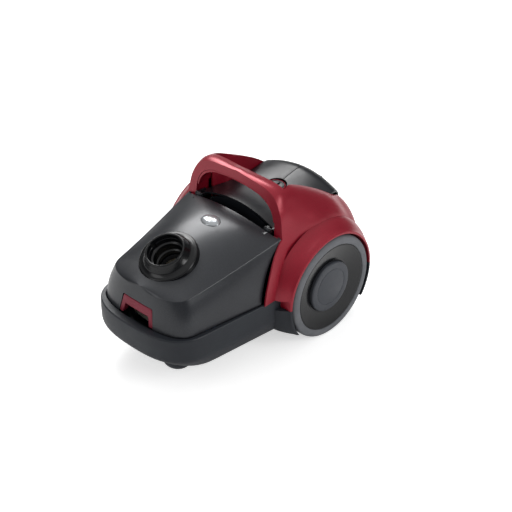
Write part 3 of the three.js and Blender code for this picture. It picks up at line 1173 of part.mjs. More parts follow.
add('lid', coverShell(), '#54585f', 0.3, 0.4);
add('lid_latch', latch(), '#8e3f4c', 0.4);
add('latch_pin', latchPin(), STEEL, 0.3, 0.9);
add('latch_spring', latchSpring(), STEEL, 0.3, 0.9);
add('inlet_collar', inletCollar(), BLACK, 0.25);
add('inlet_seal', inletSeal(), FOAM, 0.8);
add('indicator_lens', lens(), '#c9ced2', 0.15, 0.3);
add('indicator_channel', indicatorChannel(), BLACK, 0.5);
add('indicator_flag', indicatorFlag(), '#e0e4e2', 0.5);
add('base_housing', tub(), DARK, 0.5);
add('rear_shell', rearShell(), RED, 0.35);
add('handle_liner', handleLiner(), RED, 0.4);
add('deck_panel', deckPanel(), DARK, 0.4);
add('power_pedal', pedal(-1), DARK, 0.4);
add('rewind_pedal', pedal(1), DARK, 0.4);
add('power_pedal_spring', pedalSpring(-1), STEEL, 0.3, 0.9);
add('rewind_pedal_spring', pedalSpring(1), STEEL, 0.3, 0.9);
add('suction_knob', knob(), '#b3283c', 0.35);
add('exhaust_grille', grille(), BLACK, 0.5);
add('exhaust_filter', exhaustFilter(), PAPER, 0.9);
add('exhaust_filter_frame', filterFrame(), DARK, 0.5);
add('parking_fork', parkingFork(), BLACK, 0.5);
add('cord_outlet', cordOutlet(), BLACK, 0.6);
for (const [name, side] of [['left', 1], ['right', -1]]) {
  add(`tyre_${name}`, turnedX(tyreProfile(), side, AXLE_Y, AXLE_Z, 32), GREY, 0.7);
  add(`wheel_dish_${name}`, turnedX(dishProfile(), side, AXLE_Y, AXLE_Z, 32), BLACK, 0.25);
  add(`hub_disc_${name}`, turnedX(hubProfile(), side, AXLE_Y, AXLE_Z, 32), '#4e5157', 0.5);
  add(`axle_${name}`, turnedX(axleProfile(), side, AXLE_Y, AXLE_Z, 20), STEEL, 0.3, 0.9);
  add(`glide_${name}`, glide(side), BLACK, 0.7);
  add(`lid_hinge_pin_${name}`, rod('x', HINGE_PIN_RADIUS, side * EAR_X - 6.5, side * EAR_X + 6.5,
    [LID_HINGE_Y, LID_HINGE_Z], 12), STEEL, 0.3, 0.9);
}
add('caster_fork', casterFork(), BLACK, 0.5);
add('caster_wheel', casterWheel(), GREY, 0.7);
add('caster_pin', casterPin(), STEEL, 0.3, 0.9);
add('dust_bag', dustBag(), PAPER, 0.9);
add('bag_plate', bagPlate(), '#b39b72', 0.9);
add('bag_holder', bagHolder(), '#5a6f8a', 0.5);
add('bulkhead', bulkhead(), DARK, 0.5);
add('motor_filter', motorFilter(), FOAM, 0.95);
add('motor_filter_grid', filterGrid(), DARK, 0.5);
add('motor_housing', motorHousing(), DARK, 0.5);
add('motor_gasket', motorGasket(), BLACK, 0.8);
add('motor_body', motorBody(), STEEL, 0.4, 0.8);
add('motor_mount_ring', mountRing(), BLACK, 0.8);
add('fan_cover', fanCover(), STEEL, 0.4, 0.8);
add('fan_seal_ring', fanRing(), BLACK, 0.8);
add('rotor_shaft', rotorShaft(), STEEL, 0.3, 0.9);
add('impeller', impeller(), STEEL, 0.4, 0.8);
add('cord_reel', reelDrum(), '#8d9095', 0.5);
add('reel_spring_case', reelSpringCase(), DARK, 0.5);
add('reel_bracket', reelBracket(), DARK, 0.5);
add('reel_spindle', reelSpindle(), STEEL, 0.3, 0.9);
add('brake_lever', brakeLever(), GREY, 0.5);
add('brake_pin', brakePin(), STEEL, 0.3, 0.9);
add('circuit_board', circuitBoard(), '#2f6a45', 0.5);
add('power_switch', powerSwitch(), BLACK, 0.5);

export default model;
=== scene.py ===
"""Canister vacuum cleaner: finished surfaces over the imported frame. Metres, +Z up, front towards -Y."""
import json
import math

import bpy
from mathutils import Matrix, Vector


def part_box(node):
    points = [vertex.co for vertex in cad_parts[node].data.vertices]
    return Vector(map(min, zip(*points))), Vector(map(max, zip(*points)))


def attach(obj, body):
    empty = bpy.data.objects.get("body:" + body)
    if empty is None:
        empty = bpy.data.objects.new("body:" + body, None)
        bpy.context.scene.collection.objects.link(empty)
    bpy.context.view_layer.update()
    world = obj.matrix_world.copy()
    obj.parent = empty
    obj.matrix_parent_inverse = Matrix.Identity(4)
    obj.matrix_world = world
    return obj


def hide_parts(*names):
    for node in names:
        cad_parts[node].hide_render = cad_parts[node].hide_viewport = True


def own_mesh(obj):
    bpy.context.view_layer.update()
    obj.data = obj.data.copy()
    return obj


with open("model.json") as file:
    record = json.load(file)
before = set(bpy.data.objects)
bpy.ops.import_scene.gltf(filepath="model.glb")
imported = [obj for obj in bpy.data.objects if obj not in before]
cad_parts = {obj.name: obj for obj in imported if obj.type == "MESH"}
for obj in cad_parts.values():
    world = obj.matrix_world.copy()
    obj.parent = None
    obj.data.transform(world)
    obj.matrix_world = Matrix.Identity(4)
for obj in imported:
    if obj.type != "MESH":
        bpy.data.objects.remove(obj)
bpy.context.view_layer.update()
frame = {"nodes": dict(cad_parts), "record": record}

MM = 0.001


def span(node):
    """A node's lowest and highest corner in millimetres."""
    low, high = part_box(node)
    return [c / MM for c in low], [c / MM for c in high]


def middle(node):
    low, high = span(node)
    return [(a + b) / 2 for a, b in zip(low, high)]


# ---- Places taken from the frame ----
TYRE_LOW, TYRE_HIGH = span("tyre_left")
AXLE_Y, AXLE_Z = middle("tyre_left")[1:]
WHEEL_RADIUS = TYRE_HIGH[2] - AXLE_Z
WHEEL_FACE = TYRE_HIGH[0]
WHEEL_BACK = TYRE_LOW[0]
FRONT_Y = span("base_housing")[0][1]
REAR_Y = span("rear_shell")[1][1]
HANDLE_TOP = 264.0
SPLIT_Z = span("rear_shell")[0][2]
TYRE_GAP = 3.5
SIDE = WHEEL_BACK - TYRE_GAP
ARCH_RADIUS = WHEEL_RADIUS + TYRE_GAP
PARTING_RADIUS = ARCH_RADIUS + 37.5
HANDLE_Y = AXLE_Y - 72
HANDLE_LEAN = 0.1
HANDLE_DEPTH = 29
HANDLE_BAND = 17
BAND_END_Y = AXLE_Y - 93
COVER_FRONT = FRONT_Y + 14
DECK_LINE = span("base_housing")[1][2]
BELLY = 38
WALL = 2.5
FIT = 0.3
RUN = 1
NOSE_HEIGHT = 155
SHOULDER = 190
CROWN = 24
INLET_Y = COVER_FRONT + 72
INLET_TILT = math.radians(24)
INLET_SINK = -4
LATCH_TOP = DECK_LINE + 31
LATCH_WIDTH = 63


# ---- Mesh helpers ----
def deselect():
    if bpy.context.object and bpy.context.object.mode != "OBJECT":
        bpy.ops.object.mode_set(mode="OBJECT")
    bpy.ops.object.select_all(action="DESELECT")


def pick(obj):
    deselect()
    obj.select_set(True)
    bpy.context.view_layer.objects.active = obj


def settle(obj):
    """The object's place goes into its mesh."""
    pick(obj)
    bpy.ops.object.transform_apply(location=True, rotation=True, scale=True)
    return obj


def from_points(name, points, faces=(), edges=()):
    mesh = bpy.data.meshes.new(name)
    mesh.from_pydata([[c * MM for c in p] for p in points], edges, faces)
    obj = bpy.data.objects.new(name, mesh)
    bpy.context.scene.collection.objects.link(obj)
    return obj


def face_out(obj, doubles=0.00001):
    pick(obj)
    bpy.ops.object.mode_set(mode="EDIT")
    bpy.ops.mesh.select_all(action="SELECT")
    bpy.ops.mesh.remove_doubles(threshold=doubles)
    bpy.ops.mesh.normals_make_consistent(inside=False)
    bpy.ops.object.mode_set(mode="OBJECT")
    return obj


def lofted(name, rings):
    """A closed skin over rows of points, with a face over each end."""
    count = len(rings[0])
    points = [p for ring in rings for p in ring]
    faces = []
    for r in range(len(rings) - 1):
        for i in range(count):
            a, b = r * count + i, r * count + (i + 1) % count
            faces.append((a, b, b + count, a + count))
    faces.append(tuple(range(count))[::-1])
    faces.append(tuple(range((len(rings) - 1) * count, len(rings) * count)))
    return face_out(from_points(name, points, faces))


def turned(name, profile, axis, centre, steps=96, start=0.0):
    """A closed profile of (radius, along) points spun about an axis through a centre, in millimetres."""
    across = {"x": lambda r, a: (a, 0, r), "y": lambda r, a: (r, a, 0), "z": lambda r, a: (r, 0, a)}[axis]
    points = [across(r, a) for r, a in profile]
    points = [[p[k] + centre[k] for k in range(3)] for p in points]
    edges = [(i, (i + 1) % len(points)) for i in range(len(points))]
    obj = from_points(name, points, edges=edges)
    pick(obj)
    bpy.ops.object.mode_set(mode="EDIT")
    bpy.ops.mesh.select_all(action="SELECT")
    line = {"x": (1, 0, 0), "y": (0, 1, 0), "z": (0, 0, 1)}[axis]
    bpy.ops.mesh.spin(steps=steps, angle=2 * math.pi, center=[c * MM for c in centre], axis=line)
    bpy.ops.object.mode_set(mode="OBJECT")
    return face_out(obj)


def rounded_profile(profile, radius=0.8, steps=3):
    """The same closed profile with its corners rounded."""
    made = []
    count = len(profile)
    for i, corner in enumerate(profile):
        here = Vector(corner)
        before = Vector(profile[i - 1]) - here
        after = Vector(profile[(i + 1) % count]) - here
        if corner[0] == 0 or before.length < 1e-6 or after.length < 1e-6:
            made.append(tuple(here))
            continue
        reach = min(radius, before.length * 0.45, after.length * 0.45)
        a, b = here + before.normalized() * reach, here + after.normalized() * reach
        for s in range(steps + 1):
            t = s / steps
            made.append(tuple(a * (1 - t) ** 2 + here * 2 * t * (1 - t) + b * t ** 2))
    return made


def block(x0, x1, y0, y1, z0, z1, name="block"):
    deselect()
    bpy.ops.mesh.primitive_cube_add(size=MM, location=[(x0 + x1) / 2 * MM, (y0 + y1) / 2 * MM,
                                                       (z0 + z1) / 2 * MM])
    obj = bpy.context.object
    obj.scale = (x1 - x0, y1 - y0, z1 - z0)
    obj.name = name
    return settle(obj)


def rod(axis, radius, start, end, centre, sides=96):
    deselect()
    place = {"x": [(start + end) / 2, *centre], "y": [centre[0], (start + end) / 2, centre[1]],
             "z": [*centre, (start + end) / 2]}[axis]
    turn = {"x": (0, math.pi / 2, 0), "y": (math.pi / 2, 0, 0), "z": (0, 0, 0)}[axis]
    bpy.ops.mesh.primitive_cylinder_add(vertices=sides, radius=radius * MM, depth=(end - start) * MM,
                                        location=[c * MM for c in place], rotation=turn)
    return settle(bpy.context.object)


def prism(outline, start, end, plane):
    """An outline of points in XY or XZ given thickness along the third axis."""
    put = (lambda u, v, w: (u, v, w)) if plane == "xy" else (lambda u, v, w: (u, w, v))
    return lofted("prism", [[put(u, v, w) for u, v in outline] for w in (start, end)])


def carve(body, tool, how="DIFFERENCE"):
    change = body.modifiers.new("carve", "BOOLEAN")
    change.object = tool
    change.operation = how
    change.solver = "EXACT"
    pick(body)
    bpy.ops.object.modifier_apply(modifier=change.name)
    bpy.data.objects.remove(tool)
    return body


def carved(body, *tools):
    for tool in tools:
        carve(body, tool)
    return body


def smooth(obj, degrees=32):
    pick(obj)
    bpy.ops.object.shade_smooth_by_angle(angle=math.radians(degrees))
    return obj


def copy_of(node, name):
    """A merged copy of a frame node's mesh."""
    source = frame["nodes"][node]
    obj = bpy.data.objects.new(name, source.data.copy())
    bpy.context.scene.collection.objects.link(obj)
    pick(obj)
    bpy.ops.object.mode_set(mode="EDIT")
    bpy.ops.mesh.select_all(action="SELECT")
    bpy.ops.mesh.remove_doubles(threshold=0.000005)
    bpy.ops.mesh.tris_convert_to_quads(face_threshold=math.radians(2), shape_threshold=math.radians(179))
    bpy.ops.object.mode_set(mode="OBJECT")
    return obj


def bevelled(obj, width=0.8, segments=2, degrees=35):
    edge = obj.modifiers.new("edge", "BEVEL")
    edge.width = width * MM
    edge.segments = segments
    edge.limit_method = "ANGLE"
    edge.angle_limit = math.radians(degrees)
    edge.use_clamp_overlap = True
    pick(obj)
    bpy.ops.object.modifier_apply(modifier=edge.name)
    return obj


def mix(a, b, t):
    return a + (b - a) * t


def smoothstep(x, low, high):
    t = min(max((x - low) / (high - low), 0), 1)
    return t * t * (3 - 2 * t)


# ---- Curves ----
def hermite(x0, x1, m0, m1, t):
    return (x0 + m0 * t + (-3 * x0 + 3 * x1 - 2 * m0 - m1) * t * t + (2 * x0 - 2 * x1 + m0 + m1) * t ** 3)


def even_curve(points, t):
    """A point of an even spline through the points, with its ends carried on straight."""
    place = (len(points) - 1) * t
    i = min(int(place), len(points) - 2)
    w = place - i
    a, b = Vector(points[i]), Vector(points[i + 1])
    before = Vector(points[i - 1]) if i else a * 2 - b
    after = Vector(points[i + 2]) if i + 2 < len(points) else b * 2 - a
    return hermite(a, b, (b - before) * 0.5, (after - a) * 0.5, w)


def fitted_curve(points, t):
    """A point of a spline whose speed follows the spacing of its points."""
    place = (len(points) - 1) * t
    i = min(int(place), len(points) - 2)
    w = place - i
    a, b = Vector(points[i]), Vector(points[i + 1])
    before = Vector(points[i - 1]) if i else a * 2 - b
    after = Vector(points[i + 2]) if i + 2 < len(points) else b * 2 - a
    d0, d1, d2 = [max((q - p).length, 1e-6) ** 0.5 for p, q in ((before, a), (a, b), (b, after))]
    m0 = ((a - before) / d0 - (b - before) / (d0 + d1) + (b - a) / d1) * d1
    m1 = ((b - a) / d1 - (after - a) / (d1 + d2) + (after - b) / d2) * d1
    return hermite(a, b, m0, m1, w)


def read_curve(points, along, across, place):
    for a, b in zip(points, points[1:]):
        if a[along] <= place <= b[along]:
            return mix(a[across], b[across], (place - a[along]) / (b[along] - a[along]))
    return points[0][across] if place < points[0][along] else points[-1][across]


NOSE_POWER = 2.7


def nose_point(turn):
    power = 2 / NOSE_POWER
    return math.sin(turn) ** power, 1 - max(math.cos(turn), 0) ** power


def nose_half(y, front, straight, depth):
    back = 1 - max(y - front, 0) / depth
    return straight if back <= 0 else straight * max(1 - back ** NOSE_POWER, 0) ** (1 / NOSE_POWER)


def mirrored_ring(half, y, lean=lambda z: 0):
    right = [(x, y + lean(z), z) for x, z in half]
    return right + [(-x, yy, z) for x, yy, z in right[:-1][::-1]]


def inset(half, wall):
    made = []
    for i, (x, z) in enumerate(half):
        before, after = half[max(i - 1, 0)], half[min(i + 1, len(half) - 1)]
        along = Vector((after[0] - before[0], after[1] - before[1])).normalized()
        last = i == len(half) - 1
        made.append((0, z - wall) if last else (x - wall * along.y, z + wall * along.x))
    return made


# ---- Front cover ----
COVER_NOSE = 36
NOSE_STEPS = 18


def cover_part(y):
    return min(max((y - COVER_FRONT) / (HANDLE_Y - COVER_FRONT), 0), 1.15)


def cover_heights(y):
    u = cover_part(y)
    ridge = NOSE_HEIGHT + (SHOULDER - NOSE_HEIGHT) * u ** 1.35
    return ridge, 5 * max(1 - u, 0) + CROWN * math.sin(0.78 * math.pi * u)


def ridge_half(y):
    return nose_half(y, COVER_FRONT, mix(SIDE - 40, SIDE - 13.5, cover_part(y)), COVER_NOSE)


def foot_half(y):
    return nose_half(y, COVER_FRONT, mix(SIDE - 26, SIDE + 4, cover_part(y)), COVER_NOSE)


def cover_lean(y):
    return 0.2 * max(1 - 1.3 * cover_part(y), 0)


def cover_top(x, y):
    row = y - cover_lean(y) * (NOSE_HEIGHT - DECK_LINE)
    ridge, crown = cover_heights(row)
    return ridge + crown * (1 - (x / ridge_half(row)) ** 2)


def cover_lining(y, foot, wall):
    """The cover's inner outline, kept plain so that the wall doesn't fold over itself at the ridge."""
    ridge, crown = cover_heights(y)
    top, bottom = ridge_half(y), foot_half(y)
    wall = min(wall, bottom / 3)
    half = [(mix(bottom, top, s) + 2 * math.sin(math.pi * s) * top / SIDE - wall,
             mix(foot, ridge - wall, s))
            for s in (0, 0.25, 0.5, 0.75, 0.95)]
    return half + [((top - wall) * s, ridge - wall + crown * (1 - s * s))
                   for s in (0.96, 0.8, 0.6, 0.4, 0.2, 0)]


def cover_profile(y, foot):
    ridge, crown = cover_heights(y)
    top, bottom = ridge_half(y), foot_half(y)
    bulge = 3 * min(top / (SIDE - 40), 1)
    half = []
    for i in range(9):
        s = i / 9
        half.append((mix(bottom, top, s) + bulge * math.sin(math.pi * s), mix(foot, ridge, s)))
    slope = (ridge - foot) * 0.03
    half.append((top + bulge * 0.12, ridge - slope))
    for i in range(5):
        turn = i / 4
        half.append((top * (1 - 0.022 * turn ** 1.6),
                     ridge - slope * (1 - turn) ** 2 * 0.5 + crown * 0.04 * turn))
    for i in range(1, 19):
        s = 0.978 * (1 - i / 18)
        half.append((top * s, ridge + crown * (1 - s * s)))
    return half


def shares(count):
    """Even steps from 0 to 1, with both ends."""
    return [i / count for i in range(count + 1)]


def nose_rows(front, count):
    """Where the rings round the nose stand, from near its tip to where it is at full width."""
    return [front + COVER_NOSE * nose_point(mix(0.1, math.pi / 2, i / NOSE_STEPS))[1] for i in range(count)]


def cover_rows():
    """Where the cover's rings stand, from the nose to behind the handle."""
    return nose_rows(COVER_FRONT, NOSE_STEPS) + [mix(COVER_FRONT + COVER_NOSE, HANDLE_Y + 22, s) for s in shares(28)]


def cover_block(wall, foot, name):
    """The cover's solid, or its inside where a wall is given."""
    rings = []
    for i, y in enumerate(cover_rows()):
        half = cover_lining(y, foot, wall) if wall else cover_profile(y, foot)
        nose = max(1 - i / NOSE_STEPS, 0)
        rings.append(mirrored_ring(half, y + wall * nose, lambda z: cover_lean(y) * (z - DECK_LINE)))
    return lofted(name, rings)


def curve_behind(half, ends, mid, rear, count=40):
    """Outline of everything behind a curve whose middle stands ahead of its ends."""
    front = []
    for i in range(count + 1):
        t = i / count
        control = 2 * mid - ends
        front.append((mix(-half, half, t), ends * (1 - t) ** 2 + control * 2 * t * (1 - t) + ends * t * t))
    return front + [(half, rear), (-half, rear)]


def handle_plane(gap):
    """Everything behind the leaning front of the handle."""
    deselect()
    bpy.ops.mesh.primitive_cube_add(size=MM)
    obj = bpy.context.object
    obj.scale = (600, 400, 600)
    settle(obj)
    obj.location = (0, 200 * MM, 0)
    settle(obj)
    obj.rotation_euler = (-math.atan(HANDLE_LEAN), 0, 0)
    settle(obj)
    obj.location = (0, (HANDLE_Y + gap) * MM, SHOULDER * MM)
    return settle(obj)


def latch_outline(grow, foot, width=LATCH_WIDTH, crest=LATCH_TOP, corner=3.5):
    top, peak, flare = width / 2 + grow, crest + grow, 5
    right = [(top + flare, foot)]
    for i in range(7):
        turn = i / 6 * math.pi / 2
        right.append((top - corner + corner * math.cos(turn), peak - corner + corner * math.sin(turn)))
    return right + [(-x, z) for x, z in right[::-1]]


def socket_placed(obj, height=INLET_SINK):
    """Turns a piece made about the origin onto the hose socket's leaning axis."""
    place = Vector((0, INLET_Y, cover_top(0, INLET_Y) + height)) * MM
    obj.data.transform(Matrix.Translation(place) @ Matrix.Rotation(INLET_TILT, 4, "X"))
    return obj


def oval_placed(obj):
    place = Vector((0, HANDLE_Y - 50, cover_top(0, HANDLE_Y - 50))) * MM
    stretch = Matrix.Diagonal((17, 12.5, 1, 1))
    obj.data.transform(Matrix.Translation(place) @ Matrix.Rotation(0.1, 4, "X") @ stretch)
    return obj


def make_cover():
    body = cover_block(0, DECK_LINE + FIT, "cover_shell")
    hollow = cover_block(WALL, DECK_LINE - 12, "hollow")
    keep = prism(latch_outline(3, DECK_LINE - 20), COVER_FRONT - 5, COVER_FRONT + 28.5, "xz")
    carve(hollow, keep)
    pocket = prism(latch_outline(FIT, DECK_LINE - 5), COVER_FRONT - 10, COVER_FRONT + 26, "xz")
    hole = socket_placed(rod("z", 46.3, -30, 40, [0, 0]))
    window = oval_placed(rod("z", 1.02, -20, 20, [0, 0], 64))
    gutter = prism(curve_behind(SIDE - 19, HANDLE_Y - 4, HANDLE_Y - 10, AXLE_Y),
                   SHOULDER - 40, HANDLE_TOP, "xy")
    carved(body, hollow, pocket, hole, window, rod("x", PARTING_RADIUS + FIT, -150, 150, [AXLE_Y, AXLE_Z], 192),
           gutter, handle_plane(-FIT))
    y, z = middle("lid_hinge_pin_left")[1:]
    for side in (1, -1):
        x = middle("lid_hinge_pin_left")[0] * side
        ear = rod("x", 3.6, x - 3, x + 3, [y, z], 32)
        carve(ear, block(x - 3, x + 3, y - 12, y, z - 5.5, z - 1), "UNION")
        carve(ear, rod("x", 1.9, x - 9, x + 9, [y, z], 24))
        carve(body, ear, "UNION")
    return smooth(body)


# ---- Rear shell with the handle ----
SHELL_PLACES = [
    (HANDLE_Y - 60, [(SIDE + 5, SPLIT_Z), (SIDE + 1, 142), (SIDE - 13, 188), (SIDE - 34, 205), (SIDE - 62, 212),
                     (0, 214)]),
    (HANDLE_Y, [(SIDE + 3, SPLIT_Z), (SIDE + 1, 142), (SIDE - 12, 191), (SIDE - 21, 227), (SIDE - 40, 250),
                (0, HANDLE_TOP - 2.3)]),
    (HANDLE_Y + HANDLE_DEPTH, [(SIDE, SPLIT_Z), (SIDE, 142), (SIDE - 7, 192), (SIDE - 21, 232), (SIDE - 36, 254),
                               (0, HANDLE_TOP - 5.5)]),
    (AXLE_Y, [(SIDE, SPLIT_Z), (SIDE, 142), (SIDE + 0.5, 191), (SIDE - 18, 221), (SIDE - 37, 236), (0, 238)]),
    (AXLE_Y + 45, [(SIDE, SPLIT_Z), (SIDE, 138), (SIDE - 1, 181), (SIDE - 17, 202), (SIDE - 38, 211), (0, 212)]),
    (REAR_Y - 38, [(SIDE, SPLIT_Z), (SIDE, 130), (SIDE - 4, 162), (SIDE - 20, 182), (SIDE - 39, 192), (0, 193)]),
    (REAR_Y - 15, [(SIDE - 3, SPLIT_Z), (SIDE - 4, 118), (SIDE - 10, 143), (SIDE - 26, 166), (SIDE - 47, 177),
                   (0, 178)]),
    (REAR_Y, [(SIDE - 34, SPLIT_Z), (SIDE - 35, 108), (SIDE - 40, 130), (SIDE - 52, 148), (SIDE - 68, 156),
              (0, 157)]),
]


def shell_block(wall, name, steps=70, across=34):
    rings = []
    for s in range(steps + 1):
        corners = [even_curve([(pts[k][0], y, pts[k][1]) for y, pts in SHELL_PLACES], s / steps)
                   for k in range(6)]
        half = [fitted_curve(corners, s) for s in shares(across)]
        half = [(p.x, p.z) for p in half]
        half[-1] = (0, half[-1][1])
        if wall:
            half = inset(half, wall)
            half.insert(0, (half[0][0], SPLIT_Z - 20))
        rings.append(mirrored_ring(half, corners[0].y - (wall if s == steps else 0)))
    return lofted(name, rings)


WELL_KNOTS = [(SIDE - 30, HANDLE_Y - 14), (SIDE - 37, HANDLE_Y + HANDLE_DEPTH), (SIDE - 47, HANDLE_Y + 55),
              (SIDE - 47, AXLE_Y + 18), (SIDE - 40, REAR_Y - 42), (SIDE - 48, REAR_Y - 15), (SIDE - 62, REAR_Y + 5)]
WELL_FLOOR = SHOULDER - 37


def plain_spline(knots, count):
    """Points along a spline that stops dead at its ends."""
    made = []
    for i in range(count + 1):
        place = (len(knots) - 1) * i / count
        k = min(int(place), len(knots) - 2)
        a, b = Vector(knots[k]), Vector(knots[k + 1])
        before = Vector(knots[k - 1]) if k else a
        after = Vector(knots[k + 2]) if k + 2 < len(knots) else b
        made.append(hermite(a, b, (b - before) * 0.5, (after - a) * 0.5, place - k))
    return made


WELL_LINE = plain_spline(WELL_KNOTS, 120)


def well_half(y):
    return read_curve(WELL_LINE, 1, 0, y)


def well_outline(front, rear, shrink, count=60):
    right = [(well_half(y) - shrink, y) for y in (mix(front, rear, s) for s in shares(count))]
    return right + [(-x, y) for x, y in right[::-1]]


def bezier(a, b, c, d, count=14):
    made = []
    for i in range(1, count + 1):
        t = i / count
        made.append(tuple(Vector(a) * (1 - t) ** 3 + Vector(b) * 3 * t * (1 - t) ** 2
                          + Vector(c) * 3 * t * t * (1 - t) + Vector(d) * t ** 3))
    return made


def handle_outline(grow):
    side, top = SIDE - 30 + grow, HANDLE_TOP - HANDLE_BAND + grow
    right = [(side, WELL_FLOOR - 3), (side - 3, SHOULDER + 18)]
    right += bezier((side - 3, SHOULDER + 18), (side - 6, top - 20), (side - 16, top - 10), (side - 36, top - 4))
    right += bezier((side - 36, top - 4), (mix(side - 36, 25, 0.67), top - 1.3), (mix(0, 25, 0.67), top), (0, top))
    return right + [(-x, z) for x, z in right[:-1][::-1]]


def fender(side, name="fender"):
    profile = [(ARCH_RADIUS, SIDE - WALL), (ARCH_RADIUS + 18, SIDE - WALL), (ARCH_RADIUS + 17, SIDE + 2),
               (ARCH_RADIUS + 15.6, SIDE + 5.5), (ARCH_RADIUS + 13.4, SIDE + 10), (ARCH_RADIUS + 10.5, SIDE + 14.4),
               (ARCH_RADIUS + 7.8, SIDE + 18), (ARCH_RADIUS + 5.2, SIDE + 21), (ARCH_RADIUS + 3.4, WHEEL_FACE - 2.4),
               (ARCH_RADIUS + 2, WHEEL_FACE - 1.6), (ARCH_RADIUS, WHEEL_FACE - 1.5)]
    profile = [(r, a * side) for r, a in profile]
    return turned(name, profile, "x", [0, AXLE_Y, AXLE_Z], 160)


def wheel_pocket(side):
    return rod("x", ARCH_RADIUS, *((SIDE, 160) if side > 0 else (-160, -SIDE)), [AXLE_Y, AXLE_Z], 160)


def make_rear_shell():
    body = shell_block(0, "rear_shell_skin")
    hollow = shell_block(WALL, "hollow")
    carve(hollow, block(-150, 150, HANDLE_Y - 2, HANDLE_Y + HANDLE_DEPTH, SHOULDER - 10, 600))
    carve(hollow, prism(well_outline(HANDLE_Y, REAR_Y - 6, -WALL), WELL_FLOOR + 6, 560, "xy"))
    keep = rod("x", PARTING_RADIUS, -150, 150, [AXLE_Y, AXLE_Z], 192)
    carve(keep, handle_plane(0), "UNION")
    carved(body, hollow, prism(well_outline(HANDLE_Y + HANDLE_DEPTH, REAR_Y + 4, 0), WELL_FLOOR, 550, "xy"),
           prism(handle_outline(3.3), FRONT_Y, HANDLE_Y + HANDLE_DEPTH + 0.01, "xz"))
    carve(body, keep, "INTERSECT")
    for side in (1, -1):
        carve(body, fender(side), "UNION")
    grille = span("exhaust_grille")
    outlet = middle("cord_outlet")
    carved(body, block(-160, 160, FRONT_Y, 210, -200, SPLIT_Z),
           block(-160, 160, FRONT_Y, BAND_END_Y + FIT, -5, DECK_LINE + FIT),
           wheel_pocket(1), wheel_pocket(-1), rod("x", 5.3, -160, 160, [AXLE_Y, AXLE_Z], 48),
           block(grille[0][0] - FIT, grille[1][0] + FIT, REAR_Y - 20, REAR_Y + 5, grille[0][2] - FIT, grille[1][2] + FIT),
           rod("y", 7.3, REAR_Y - 30, REAR_Y + 9, [outlet[0], outlet[2]], 48))
    return smooth(body)


def make_handle_liner():
    body = prism(handle_outline(3), HANDLE_Y - 2, HANDLE_Y + HANDLE_DEPTH - RUN, "xz")
    carved(body, prism(handle_outline(0), HANDLE_Y - 10, HANDLE_Y + 60, "xz"),
           block(-150, 150, FRONT_Y, 210, 0, SHOULDER + 20))
    carve(body, handle_plane(0.5), "INTERSECT")
    return smooth(bevelled(body, 0.6, 2, 50))


# ---- Bumper tub ----
BAND_NOSE = 62
TAIL_ACROSS = 34
TAIL_ALONG = 38


def band_loop(z, side_inset, nose_inset):
    front = FRONT_Y + nose_inset
    width = lambda y: mix(SIDE - 17, SIDE + 5, (y - FRONT_Y) / (BAND_END_Y - FRONT_Y)) - side_inset
    half = [(0, front)]
    for i in range(1, 21):
        across, along = nose_point(i / 20 * math.pi / 2)
        y = front + BAND_NOSE * along
        half.append((width(y) * across, y))
    for i in range(1, 7):
        y = mix(front + BAND_NOSE, BAND_END_Y, i / 6)
        half.append((width(y), y))
    half.append((SIDE - side_inset, BAND_END_Y + 0.1))
    for i in range(12, -1, -1):
        across, along = nose_point(i / 12 * math.pi / 2)
        half.append((SIDE - TAIL_ACROSS * (1 - across) - side_inset, REAR_Y - TAIL_ALONG * along - side_inset))
    half.append((0, REAR_Y - side_inset))
    return [(x, y, z) for x, y in half] + [(-x, y, z) for x, y in half[1:-1][::-1]]


def tub_levels():
    """Height, side inset and nose inset of each level of the tub's outside."""
    rough = [(BELLY, 14, 30), (BELLY + 3, 10, 26), (BELLY + 14, 4.5, 12), (BELLY + 24, 1, 2), (DECK_LINE - 34, 0, 0),
             (DECK_LINE - 3, 0, 0), (DECK_LINE - 1.2, 0.35, 0.35), (DECK_LINE, 1.4, 1.4)]
    made = []
    for a, b in zip(rough, rough[1:]):
        steps = 4 if b[0] < DECK_LINE - 3 else 2
        made += [tuple(fitted_curve(rough, (rough.index(a) + i / steps) / (len(rough) - 1)))
                 for i in range(steps)]
    return made + [rough[-1]]


def wing_trim():
    reach, foot, radius = ARCH_RADIUS + 25, ARCH_RADIUS * 0.7, WHEEL_RADIUS
    outline = [(-reach, -0.42 * radius), (-foot, -0.66 * radius), (-foot, radius), (foot, radius),
               (foot, -0.66 * radius), (reach, -0.42 * radius), (reach, -3 * radius), (-reach, -3 * radius)]
    points = [[(x, y + AXLE_Y, z + AXLE_Z) for y, z in outline] for x in (-200, 200)]
    return lofted("trim", points)


def front_pod(side):
    low = BELLY - 9
    profile = [(0, low), (15, low + 0.4), (20, low + 3), (23, low + 8), (24, low + 20), (0, low + 20)]
    obj = turned("pod", rounded_profile(profile, 4, 5), "z", [0, 0, 0], 64)
    obj.data.transform(Matrix.Translation(Vector((side * 49, FRONT_Y + 50, 0)) * MM)
                       @ Matrix.Diagonal((1, 0.9, 1, 1)))
    return obj


